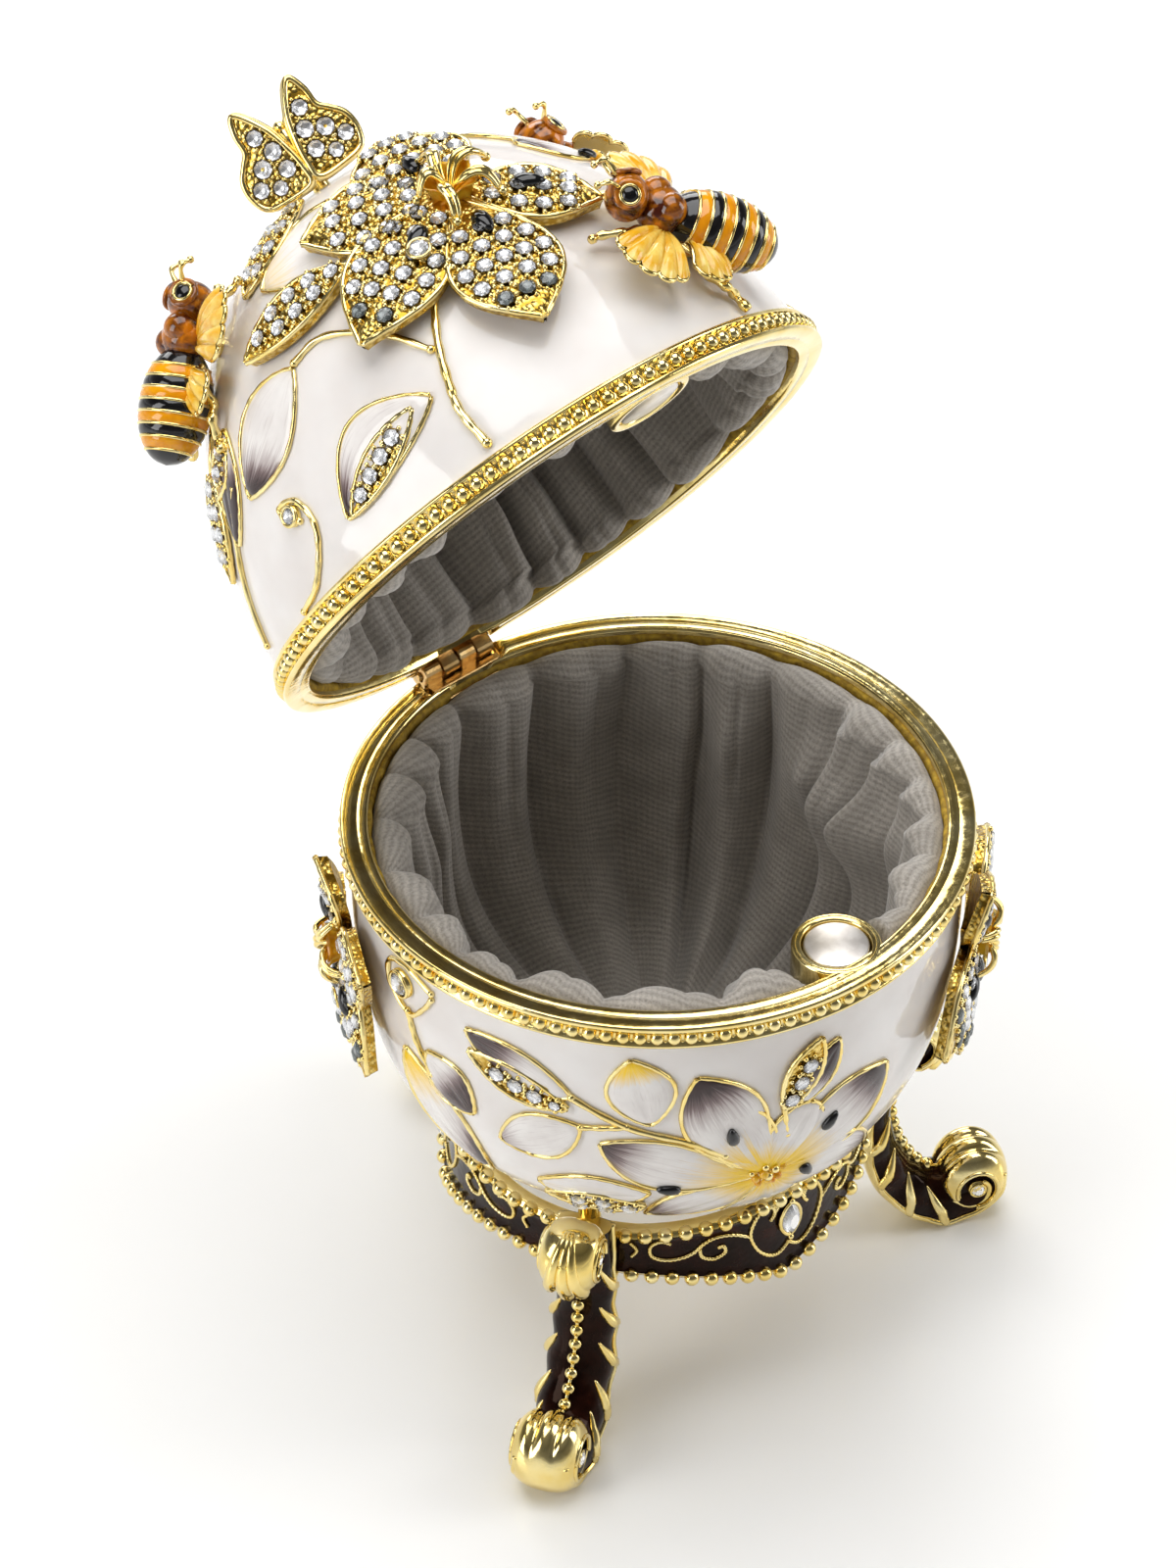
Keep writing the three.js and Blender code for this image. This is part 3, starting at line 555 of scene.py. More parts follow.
def setPave(half, leaf, jewels, height, side=0, smokeFrom=2.0, first=0.0):
    # Rows of stones across a petal, with raised grains between them. Side keeps to one half of the leaf.
    crystals, foils, metal, smokes = jewels
    start, end = towards(half, leaf["base"]), towards(half, leaf["tip"])
    reach = math.acos(float(start @ end)) * 47
    rows = max(int((reach - 1.2) / pave["row"]), 1)
    for i in range(rows):
        s = (i + 0.62) * pave["row"] / reach
        if s < first or s > 0.97:
            continue
        left, _ = leafPoints(half, leaf, s, -1.0, height)
        right, _ = leafPoints(half, leaf, s, 1.0, height)
        across = float(np.linalg.norm(right - left)) * (0.5 if side else 1)
        room = across - 2 * pave["margin"]
        count = int(room / pave["pitch"] + 0.75)
        if count < 1:
            if room < 0.8:
                continue
            count = 1
        size = min(pave["stone"], (room + 0.7) / count / 2)
        for j in range(count):
            v = ((j + 0.5) / count * 2 - 1) * (room + 0.5) / across
            if side:
                v = side * 0.5 + v * 0.5
            point, normal = leafPoints(half, leaf, s, v, height)
            ahead, _ = leafPoints(half, leaf, min(s + 0.04, 1.0), v, height)
            x = unit(ahead - point)
            y = unit(np.cross(normal, x))
            axes = np.array([x, y, normal])
            target = smokes if s > smokeFrom else crystals
            brilliant(target, foils, point + normal * pave["seat"], axes, size)
            spin = random.uniform(0, math.pi)
            for k in range(pave["grains"]):
                angle = spin + k * 2 * math.pi / pave["grains"]
                out = size + 0.3 + 0.16 * random.random()
                spot = point + (x * math.cos(angle) + y * math.sin(angle)) * out + normal * 0.1
                metal.balls([spot], pave["grain"] * random.uniform(0.8, 1.15), 0, 6, 4)


def paved(half, leaf, body, jewels, height, foot=None, **options):
    # A grained gold petal with its stones, a gold wire round its edge, and a skirt down to its foot.
    s = np.linspace(0, 1, 26)[:, None]
    v = np.linspace(-1, 1, 13)[None]
    top, _ = leafPoints(half, leaf, s, v, height)
    body.grid(top, flip=True)
    if foot is not None:
        for v in (-1, 1):
            s = np.linspace(0, 1, 26)
            low, _ = leafPoints(half, leaf, s, v, lambda s, v: height(s, v) - foot)
            high, _ = leafPoints(half, leaf, s, v, height)
            body.grid(np.stack([high, low]), flip=v > 0)
        s = np.linspace(0, 1, 26)[:, None]
        v = np.linspace(-1, 1, 9)[None]
        under, _ = leafPoints(half, leaf, s, v, lambda s, v: height(s, v) - foot)
        body.grid(under)
    leafWire(jewels[2], half, leaf, lambda s, v: height(s, v) + 0.1, pave["edge"])
    setPave(half, leaf, jewels, height, **options)


def jewelSet(name, half):
    return (Piece(name + "_stones", half, crystal), Piece(name + "_foils", half, foil, seat),
            Piece(name + "_grains", half, gold), Piece(name + "_dark_stones", half, smoke))


def buildJewels(jewels):
    for piece, slot in zip(jewels, ("crystal", "gold_plate", "gold_plate", "crystal")):
        if piece.count:
            piece.build(slot)


def teardrop(piece, axes, point, size, slim, profile):
    # A black stone, narrower at its point; the profile holds heights in millimetres and shares of the size.
    turn = turns(16)
    rings = [circle(turn, wide * size, wide * size * (slim - 0.16 * np.cos(turn)), high) for high, wide in profile]
    piece.grid(np.array(rings) @ axes + point, 3, around=True)


# Shells, rims and beaded bands

def makeShell(half, name, node):
    face = egg["rimGap"] / 2
    rim, inside = egg["rimRadius"], egg["rimRadius"] - egg["rimWidth"]
    piece = Piece(name, half, white, gold)
    wide, start, deep = egg["recess"]
    edge = math.degrees(math.asin(wide / rim))
    cuts = [90 - edge - 0.03, 90 - edge, 90 + edge, 90 + edge + 0.03]
    azimuths = np.array(sorted(list(np.linspace(0, 360, egg["ringSteps"], endpoint=False)) + cuts))
    lip = [[inside, 3.6], [inside, 0.5], [inside + 0.15, 0.22], [inside + 0.45, face], [inside + 1.5, face],
           [inside + 1.62, face + 0.12], [inside + 1.74, face], [rim - 0.4, face], [rim - 0.1, 0.27], [rim, 0.55],
           [rim, 0.85], [rim - 0.12, 1.05], [rim - 0.75, 1.25], [rim - 0.8, 3.35], [rim - 0.35, 3.5],
           [rim - 0.2, 3.75], [rim - 0.35, 4.05], [rim - 0.8, 4.25], [skinTop - 0.06, 4.4]]
    wallHeights = half["depth"] - 1 - np.linspace(1, 0, 14) ** 2 * (half["depth"] - 1 - 3.6)
    radii = skinRadius(half, wallHeights)
    out, up = skinSlope(half, radii, wallHeights)
    wall = np.stack([radii - out * egg["wall"], wallHeights - up * egg["wall"]], -1)[::-1]
    wall = wall[wall[:, 1] > 3.6]
    metal = np.array(list(wall) + lip)
    share = np.linspace(0, 1, 70)
    heights = egg["bandHeight"] - 0.05 + (half["depth"] - egg["bandHeight"] + 0.05) * (1 - (1 - share) ** 2)
    skin = np.stack([np.maximum(skinRadius(half, heights), 0.02), heights], -1)
    for profile, look in ((metal, 1), (skin, 0)):
        points = lathe(profile * [1, half["side"]], azimuths)
        recess = (np.abs(points[..., 0]) < wide + 0.01) & (points[..., 1] > start) & (np.abs(points[..., 2]) < deep)
        points[..., 2] = np.where(recess, deep * half["side"], points[..., 2])
        piece.grid(points.transpose(1, 0, 2), look, around=True, flip=half["side"] < 0)
    addBoss(piece, half, 1)
    piece.build("enamelled_metal", node)

    beads = Piece(name + "_beads", half, gold)
    turn = turns(egg["bandBeads"])
    clear = np.abs((np.degrees(turn) - 90 + 180) % 360 - 180) > edge + 1
    middle = egg["bandMiddle"]
    beads.balls(circle(turn, rim - 0.72, rim - 0.72, half["side"] * middle)[clear], egg["beadRadius"], 0, 12, 8)
    between = turn + math.pi / egg["bandBeads"]
    for height in (middle - 0.82, middle + 0.82):
        beads.balls(circle(between, rim - 0.78, rim - 0.78, half["side"] * height)[clear], 0.2, 0, 6, 4)
    beads.build("gold_plate")


boss = {"radius": 6.3, "height": 5.6, "distance": 36.8, "magnet": 4.6, "pocket": 4.9}


def bossRings(half, rings):
    return np.array([circle(turns(64), r, r, z * half["side"]) - [0, boss["distance"], 0] for r, z in rings])


def addBoss(piece, half, look):
    top = egg["rimGap"] / 2 - 0.02
    rings = [(boss["pocket"], 3.7), (boss["pocket"], top + 0.3), (boss["pocket"] + 0.25, top),
             (boss["radius"] - 0.35, top), (boss["radius"] - 0.1, top + 0.12), (boss["radius"], top + 0.4),
             (boss["radius"], boss["height"] - 0.4), (boss["radius"] - 0.5, boss["height"]), (0.05, boss["height"])]
    points = bossRings(half, rings)
    piece.grid(points, look, around=True, flip=half["side"] > 0)
    piece.add(np.concatenate([points[0], [[0, -boss["distance"], 3.7 * half["side"]]]]),
              [[j, (j + 1) % 64, 64] for j in range(64)], look)


def makeMagnet(half, name, node):
    piece = Piece(name, half, nickel)
    rings = [(0.02, 0.3), (boss["magnet"] - 0.25, 0.3), (boss["magnet"] - 0.05, 0.38), (boss["magnet"], 0.6),
             (boss["magnet"], 3.2), (0.02, 3.2)]
    piece.grid(bossRings(half, rings), around=True, flip=half["side"] < 0)
    piece.build("magnet", node)


makeShell(bowlHalf, "bowl_shell", "bowl")
makeShell(lidHalf, "lid_shell", "lid")
makeMagnet(bowlHalf, "bowl_magnet_disc", "bowl_magnet")
makeMagnet(lidHalf, "lid_magnet_disc", "lid_magnet")
print("shells, rims and magnets made")


# Linings: brushed knit, glued inside the rim, rolled over in a puffy hem and gathered in deep folds down to the floor

lining = {
    "seat": 40.55,
    "seatDepth": 3.2,
    "hem": 2.9,
    "inset": 0.9,
    "fold": 8.0,
    "folds": 22,
    "fineFolds": 43,
    "floor": 50.0,
    "around": 420,
    "down": 100,
    "hemShare": 0.085,
    "mapRadius": 40.0,
    "mapLength": 78.0,
}


def ridge(x, sharp=0.75):
    # Rounded ridges with a sharp crease between each two.
    return np.abs(np.cos(x)) ** sharp


def liningBack(half):
    # The shell's inner wall and a small gap, as radius, height and inward direction by share of its length.
    heights = lining["seatDepth"] + (half["depth"] - lining["seatDepth"]) * (1 - np.linspace(1, 0, 200) ** 2.2)
    radii = np.maximum(skinRadius(half, heights), 0.01)
    out, up = skinSlope(half, radii, heights)
    inset = egg["wall"] + lining["inset"]
    x, z = np.maximum(radii - out * inset, 0), heights - up * inset
    length = np.concatenate([[0], np.cumsum(np.hypot(np.diff(x), np.diff(z)))])
    return length, x, z, out, up


def makeLining(half, name, node, seed, bumps):
    spread = np.linspace(0, 2 * math.pi, lining["around"] + 1)[:, None]
    depth = np.linspace(0, 1, lining["down"])[None]
    warped = spread + 0.09 * np.sin(2 * spread + seed) + 0.045 * np.sin(5 * spread + 2 * seed)
    sway = depth * (0.5 * np.sin(3 * spread + seed) + 0.35 * np.sin(2 * spread + 5 * depth + seed))
    wide = ridge(warped * lining["folds"] / 2 + sway)
    fine = ridge(warped * lining["fineFolds"] / 2 + 2 * seed + 1.4 * sway)
    tiny = ridge(warped * 33 + seed + 2 * sway, 1.2)
    uneven = 0.8 + 0.2 * np.sin(3 * spread + seed) + 0.3 * np.sin(8 * spread + 2.5 * seed) * (1 - 0.5 * depth)
    gather = 1 - smoothStep(0.12, 0.6, depth)
    deep = lining["fold"] * uneven * (0.85 * wide + 0.2 * fine * gather + 0.03 * tiny)
    deep = deep * (1 - 0.75 * smoothStep(0.7, 0.97, depth))
    hem = lining["hem"] * (0.38 + 0.6 * wide + 0.16 * fine) * (0.6 + 0.45 * uneven)
    for azimuth, place, across, down, height in bumps:
        away = (np.degrees(spread) - azimuth + 180) % 360 - 180
        deep = deep + height * np.exp(-(away / across) ** 2 - ((depth - place) / down) ** 2)
    length, back, low, out, up = liningBack(half)
    share = np.clip((depth - lining["hemShare"]) / (1 - lining["hemShare"]), 0, 1) * length[-1]
    radius, heights, out, up = (np.interp(share, length, values) for values in (back, low, out, up))
    inward = 2 * hem + (deep - 2 * hem) * smoothStep(0.08, 0.24, depth)
    radius, heights = radius - out * inward, heights - up * inward
    # The first rows roll over from the glued edge, and the crest of the roll is the puffy hem.
    roll = math.pi * np.clip(depth / lining["hemShare"], 0, 1)
    rolled = roll < math.pi
    radius = np.where(rolled, lining["seat"] - hem * (1 - np.cos(roll)), radius)
    heights = np.where(rolled, lining["seatDepth"] - 0.95 * hem * np.sin(roll), heights)
    flatten = lining["floor"] - 0.5 * inward * smoothStep(2, 26, radius)
    over = np.maximum(heights - flatten + 2.5, 0)
    heights = np.where(over > 0, flatten - 2.5 + 2.5 * (1 - np.exp(-over / 2.5)), heights)
    lean = 0.5 * np.sin(2 * spread + 2 * seed) * inward * (1 - smoothStep(0.6, 0.95, depth))
    turned = spread + lean / np.maximum(radius, 10) * 0.6 * (depth > lining["hemShare"])
    x, y = radius * np.cos(turned), radius * np.sin(turned)
    near = np.hypot(x, y + boss["distance"])
    under = smoothStep(boss["radius"] + 2.4, boss["radius"] + 0.5, near)
    heights = np.maximum(heights, under * (boss["height"] + 0.9))
    keep = np.minimum(skinRadius(half, np.minimum(heights, half["depth"] - 1)) - egg["wall"] - 0.35, 40.7)
    scale = np.minimum(1, np.maximum(keep, 0.5) / np.maximum(np.hypot(x, y), 0.5))
    points = np.stack([x * scale, y * scale, half["side"] * heights * np.ones_like(x)], -1)
    # The cloth UV is in millimetres along the hem and down the wall.
    uv = np.stack([spread * lining["mapRadius"] + 0 * depth, depth * lining["mapLength"] + 0 * spread], -1)
    piece = Piece(name, half, fleece)
    piece.grid(points, 0, uv=uv, flip=half["side"] > 0)
    cloth = piece.build("fleece", node)
    strip = Piece(name + "_glue_edge", half, felt)
    ring = lathe(np.array([[41.1, 1.15], [40.75, 1.2], [40.45, 1.6], [40.5, 3.5]]) * [1, half["side"]],
                 np.linspace(0, 360, 160, endpoint=False))
    ripple = 1 + 0.003 * np.sin(np.arange(160) * 1.7)[:, None, None]
    strip.grid((ring * ripple).transpose(1, 0, 2), 0, around=True, flip=half["side"] > 0)
    strip.build("fleece")
    a, b, c, d = points[:-1, :-1], points[1:, :-1], points[1:, 1:], points[:-1, 1:]
    measured = sum(np.linalg.norm(np.cross(p - a, q - a), axis=-1).sum() / 2 for p, q in ((b, c), (c, d)))
    print(name, "area in square metres:", round(measured / 1e6, 5))


# Each single fold: its azimuth, its share of the depth, half its width in degrees and in depth, its height.
bowlFolds = [(-128, 0.15, 9, 0.07, 3.6), (-108, 0.17, 8, 0.06, 3.4), (-20, 0.24, 13, 0.1, 5.0), (4, 0.22, 9, 0.09, 4.8),
             (-38, 0.16, 8, 0.07, 3.4), (-165, 0.2, 10, 0.1, 3.0), (38, 0.16, 10, 0.09, 2.6), (150, 0.18, 11, 0.1, 2.4)]
lidFolds = [(60, 0.18, 10, 0.08, 2.2), (-60, 0.14, 9, 0.06, 1.8), (-140, 0.18, 12, 0.08, 1.8), (130, 0.2, 9, 0.1, 2.0)]
# Each lining is cut as one strip with darts: its width goes round the rim and its length from the hem to the floor.
makeLining(bowlHalf, "bowl_fleece", "bowl_lining", 1.3, bowlFolds)
makeLining(lidHalf, "lid_fleece", "lid_lining", 4.1, lidFolds)
print("linings gathered")


# Hinge: stamped leaves with interleaved fingers round one pin

hinge = {"width": 12.6, "radius": 1.9, "pin": 0.75, "fingers": 4, "gap": 0.3, "leaf": 1.4, "bevel": 0.15}


def makeHinge():
    width = (hinge["width"] - hinge["gap"] * (hinge["fingers"] - 1)) / hinge["fingers"]
    rim = egg["rimRadius"]
    near = rim - hinge["radius"] - hinge["gap"]
    turn = turns(28)
    # A finger is square at the top with rounded corners, as stamped and folded sheet is.
    squareness = 1 / np.maximum(np.abs(np.cos(turn)), np.abs(np.sin(turn)))
    outline = hinge["radius"] * np.minimum(squareness, 1.12)
    for half, name, first in ((bowlHalf, "bowl_hinge", 0), (lidHalf, "lid_hinge", 1)):
        piece = Piece(name + "_leaf_fine", half, brass, gold)
        for k in range(first, hinge["fingers"], 2):
            low = -hinge["width"] / 2 + k * (width + hinge["gap"])
            xs = [low, low, low + 0.15, low + width - 0.15, low + width, low + width]
            sizes = [0.45, 0.93, 1.0, 1.0, 0.93, 0.45]
            rings = np.array([[[x, rim + s * o * math.cos(t) * 0.98, s * o * math.sin(t) * 0.98]
                               for t, o in zip(turn, outline)] for x, s in zip(xs, sizes)])
            piece.grid(rings, 0, around=True, smooth=False)
            z = half["side"]
            piece.add(*plate([low, low + width], [near - 0.3, rim - 1.2], [z * 0.75, z * 1.85]), smooth=False)
        leafEnd = near - hinge["leaf"]
        z = half["side"]
        piece.add(*plate([-hinge["width"] / 2, hinge["width"] / 2], [leafEnd, near], [z * 0.7, z * 1.9]), smooth=False)
        flange = [z * 1.9, z * 6.5]
        piece.add(*plate([-hinge["width"] / 2, hinge["width"] / 2], [leafEnd - 1.3, leafEnd - 0.4], flange),
                  smooth=False)
        for x in (-3.6, 3.6):
            piece.balls([[x, leafEnd - 1.4, z * 4.2]], 1.0, 1, 14, 8)
        piece.build("gold_plate", "bowl_hinge_leaf" if half is bowlHalf else "lid_hinge_leaf")
    pin = Piece("hinge_pin_fine", bowlHalf, brass)
    xs = [-6.75, -6.75, -6.5, 6.5, 6.75, 6.75]
    rings = np.array([[[x, rim + s * math.cos(t), s * math.sin(t)] for t in turn]
                      for x, s in zip(xs, [0.02, 0.6, hinge["pin"], hinge["pin"], 0.6, 0.02])])
    pin.grid(rings, 0, around=True)
    pin.build("gold_plate", "hinge_pin")


def plate(x, y, z):
    # A flat bar with a small chamfer on its long edges.
    bevel = hinge["bevel"]
    (x0, x1), (y0, y1) = sorted(x), sorted(y)
    z0, z1 = sorted(z)
    ring = [(y0 + bevel, z0), (y1 - bevel, z0), (y1, z0 + bevel), (y1, z1 - bevel), (y1 - bevel, z1),
            (y0 + bevel, z1), (y0, z1 - bevel), (y0, z0 + bevel)]
    verts = [(x, a, b) for x in (x0, x1) for a, b in ring]
    faces = [[j, (j + 1) % 8, 8 + (j + 1) % 8, 8 + j] for j in range(8)]
    return np.array(verts, float), faces + [list(range(8))[::-1], list(range(8, 16))]


makeHinge()
print("hinge made")


# Apron: a cast ring of three panels with beaded edges, dark enamel and twisted-wire scrolls

apron = {
    "turn": -2.9,
    "legTurn": 0.75,
    "radius": 31.0,
    "thickness": 2.2,
    "top": -53.4,
    "height": 8.8,
    "arch": 2.2,
    "drop": 5.6,
    "reach": 44.0,
    "bead": 1.15,
    "pitch": 2.95,
    "wire": 0.3,
    "stoneUp": 2.7,
}


def apronEdges(azimuth):
    away = np.abs((np.asarray(azimuth, float) - 90 - apron["turn"]) % 120 - 60)
    near = np.maximum(1 - away / apron["reach"], 0)
    soft = near * near * (3 - 2 * near) * 0.25 + near * 0.75
    return apron["top"] + apron["arch"] * soft, apron["top"] - apron["height"] - apron["drop"] * near ** 1.6


def panelPoint(panel, along, up, lift=0.0):
    # along is mm from the panel's middle, up is mm above the middle of its drop.
    middle = 150 + apron["turn"] + 120 * panel
    azimuth = np.radians(middle) + np.asarray(along, float) / apron["radius"]
    top, low = apronEdges(middle)
    radius = apron["radius"] + lift
    return np.stack([radius * np.cos(azimuth), radius * np.sin(azimuth), (top + low) / 2 + np.asarray(up, float)], -1)


def makeApron():
    piece = Piece("apron_ring", stand, dark, gold)
    azimuths = np.linspace(0, 360, 361)[:-1]
    top, low = apronEdges(azimuths)
    inner, outer = apron["radius"] - apron["thickness"], apron["radius"]
    face = [(outer + 0.45, top - 1.0), (outer + 0.1, top - 1.7), (outer, top - 2.6), (outer, low + 2.4),
            (outer + 0.1, low + 1.6), (outer + 0.45, low + 0.9)]
    edge = [(outer + 0.45, low + 0.9), (outer + 0.1, low + 0.2), (outer - 0.6, low), (inner + 0.4, low),
            (inner, low + 0.4), (inner, top - 0.4), (inner + 0.4, top), (outer - 0.6, top), (outer + 0.1, top - 0.3),
            (outer + 0.45, top - 1.0)]
    turn = np.radians(azimuths)
    for rings, look in ((face, 0), (edge, 1)):
        piece.grid(np.array([circle(turn, r, r, z) for r, z in rings]), look, around=True)
    piece.build("dark_enamelled_metal", "apron")
    beads = Piece("apron_beads", stand, gold)
    for which, inset in ((0, -0.55), (1, 0.45)):
        path = circle(turn, outer + 0.35, outer + 0.35, (top, low)[which] + inset)
        path = np.concatenate([path, path[:1]])
        length = spacing(path)
        at = np.linspace(0, length[-1], int(round(length[-1] / apron["pitch"])), endpoint=False)
        beads.balls(pointsAt(path, length, at), apron["bead"], 0, 14, 8)
    beads.build("gold_plate")
    wires = Piece("apron_wires", stand, gold)
    scrolls = [
        [(-18.7, 3.9), (-20.2, 4.4), (-21.6, 3.4), (-21.5, 1.6), (-19.9, 0.7), (-17.4, 0.8), (-15.4, 1.7), (-13.8, 3.3),
         (-11.9, 4.1), (-9.3, 3.7), (-6.7, 2.2)],
        [(-14.5, 2.2), (-14.1, 0.6), (-12.3, -0.2), (-10.7, 0.6), (-10.9, 1.9), (-11.8, 1.9)],
        [(-3.4, 3.9), (-2.7, 5.1), (-3.2, 6.5), (-4.8, 6.7), (-6.1, 5.0), (-6.7, 2.4), (-5.6, -0.8), (-3.7, -3.0),
         (-1.9, -3.6), (-0.5, -2.7), (0, -2.0)],
    ]
    marks = [[(2.9, 7.0), (2.3, 6.0), (2.9, 4.9)], [(-24.6, 4.0), (-23.6, 2.6), (-24.4, 1.2)]]
    for panel in range(3):
        for mirror in (1, -1):
            for points in scrolls + marks:
                flat = smoothPath([(x * mirror, y, 0) for x, y in points], 14 * len(points))
                path = panelPoint(panel, flat[:, 0], flat[:, 1], 0.12)
                outward = unit(path * [1, 1, 0])
                twist = 1 + 0.16 * np.sin(np.arange(len(path)) * 1.5)
                wires.tube(path, apron["wire"] * twist, 0, 6, normals=outward)
    wires.build("gold_plate")
    setting, foils = Piece("apron_settings", stand, gold), Piece("apron_foils", stand, foil)
    for panel, side in enumerate(("left", "front", "right")):
        stone = Piece(f"marquise_{side}", stand, crystal)
        turn = turns(20)
        outline = np.stack([1.55 * np.sin(turn) * np.abs(np.sin(turn)) ** 0.55, 2.9 * np.cos(turn)], -1)
        up = apron["stoneUp"]
        rings = [(1.0, 0.35), (1.0, 0.6), (0.78, 1.15), (0.5, 1.45)]
        points = np.array([panelPoint(panel, outline[:, 0] * k, outline[:, 1] * k + up, h) for k, h in rings])
        back = panelPoint(panel, [0.0], [up], 0.2)
        faces = [[j, (j + 1) % 20, 20] for j in range(20)]
        stone.grid(points, 0, around=True, smooth=False, flip=True)
        stone.add(points[-1], [list(range(20))], 0, smooth=False)
        stone.add(np.concatenate([points[0], back]), [face[::-1] for face in faces], 0, smooth=False)
        rim = panelPoint(panel, outline[:, 0] * 1.03, outline[:, 1] * 1.03 + up, 0.32)
        foils.add(np.concatenate([rim, panelPoint(panel, [0.0], [up], 0.1)]), faces, 0, smooth=False)
        collar = panelPoint(panel, outline[:, 0] * 1.2, outline[:, 1] * 1.12 + up, 0.45)
        setting.tube(collar, 0.34, 0, 6, closed=True, normals=unit(collar * [1, 1, 0]))
        setting.balls(panelPoint(panel, [0, 0], [up + 3.6, up - 3.6], 0.6), 0.5, 0, 8, 6)
        stone.build("crystal", f"apron_crystal_{side}")
    setting.build("gold_plate")
    foils.build("gold_plate")


makeApron()
print("apron made")


# Legs: cabriole castings. The gold back strip rolls over into a bulb at both ends, closed by a shell of fingers.

leg = {
    "back": 31.9,
    "top": -49.0,
    "floor": -88.0,
    "bead": 1.0,
    "beadPitch": 2.35,
    "edge": 0.45,
    "claws": [0.2, 0.32, 0.44, 0.56, 0.665],
    "clawLength": 0.085,
    "scallop": 0.1,
    "peg": 1.65,
    # Each finger: its place across, how far its tip hangs below the bulb, half its width.
    "fingers": [(-2.3, 1.2, 1.35), (0.1, 3.0, 1.45), (2.3, 1.6, 1.35)],
}
# A bulb: its eye, its reach sideways and upwards, half its width, the angles where it starts and ends, its fingers.
topBulb = {"x": 7.2, "z": -51.3, "across": 4.9, "high": 5.3, "wide": 4.1, "start": 200, "end": -75, "fingers": 3,
           "ribFrom": 200, "ribTo": 260, "eye": 0.85}
footBulb = {"x": 17.9, "z": -81.6, "across": 5.4, "high": 6.2, "wide": 4.9, "start": -92, "end": 200, "fingers": 3,
            "ribFrom": 15, "ribTo": 75, "eye": 1.05}
# Each station holds the inner edge, the outer ridge and half the width: distance out, share of the height.
legStations = np.array([
    (0, 0, 4.7, -0.01, 3.9), (0, 0.22, 4.7, 0.22, 4.3), (0, 0.44, 4.5, 0.425, 4.5), (0.1, 0.64, 5.9, 0.585, 4.8),
    (3.3, 0.835, 8.5, 0.713, 5.1), (10.7, 1, 11.7, 0.785, 5.2), (17.5, 0.995, 16.3, 0.805, 5.2),
    (21.9, 0.9, 19.7, 0.78, 4.9), (22.6, 0.78, 19.7, 0.74, 4.3),
])
legCurve = smoothPath(legStations, 161)


def legSurface(t, phi, lift=0.0):
    # t runs down the shaft and round the foot; phi is 0 at one side, 90 on the ridge, 180 and -90 at the back.
    t, phi = np.broadcast_arrays(np.asarray(t, float), np.radians(np.asarray(phi, float)))
    x0, s0, x1, s1, half = (np.interp(t, np.linspace(0, 1, len(legCurve)), legCurve[:, k]) for k in range(5))
    z0, z1 = (leg["top"] + (leg["floor"] - leg["top"]) * s for s in (s0, s1))
    c, s = np.cos(phi), np.sin(phi)
    gap = np.min([np.abs(t - low) for low in leg["claws"]], axis=0)
    half = half * (1 - leg["scallop"] * smoothStep(0.0, 0.06, gap) * smoothStep(0.1, 0.2, t))
    depth = np.where(s > 0, 0.42 + 0.58 * np.abs(s) ** 1.15, 0.42 - 0.42 * np.abs(s) ** 0.45)
    across = half * np.sign(c) * np.abs(c) ** np.where(s > 0, 0.85, 0.4)
    point = np.stack([x0 + (x1 - x0) * depth, across, z0 + (z1 - z0) * depth], -1)
    centre = np.stack([x0 + (x1 - x0) * 0.35, 0 * across, z0 + (z1 - z0) * 0.35], -1)
    return point + unit(point - centre) * lift


def bulbSurface(bulb, angle, share, lift=0.0):
    # angle turns from outward over the top; share runs across the bulb, which is round like an egg.
    angle, share = np.broadcast_arrays(np.asarray(angle, float), np.asarray(share, float))
    turn = np.radians(angle)
    toEnd = smoothStep(0, 1, (angle - bulb["start"]) / (bulb["end"] - bulb["start"]))
    ribbed = smoothStep(bulb["ribFrom"], bulb["ribTo"], angle)
    ridges = np.abs(np.cos(share * math.pi / 2 * bulb["fingers"])) ** 0.6
    section = np.sqrt(np.maximum(1 - np.abs(share) ** 2.3, 0))
    size = (0.56 + 0.44 * section) * (1 + 0.08 * toEnd) + lift / bulb["high"]
    size = size - 0.2 * ribbed * (1 - ridges) * section
    x = bulb["x"] + bulb["across"] * size * np.cos(turn)
    z = bulb["z"] + bulb["high"] * size * np.sin(turn)
    return np.stack([x, bulb["wide"] * share, z], -1)


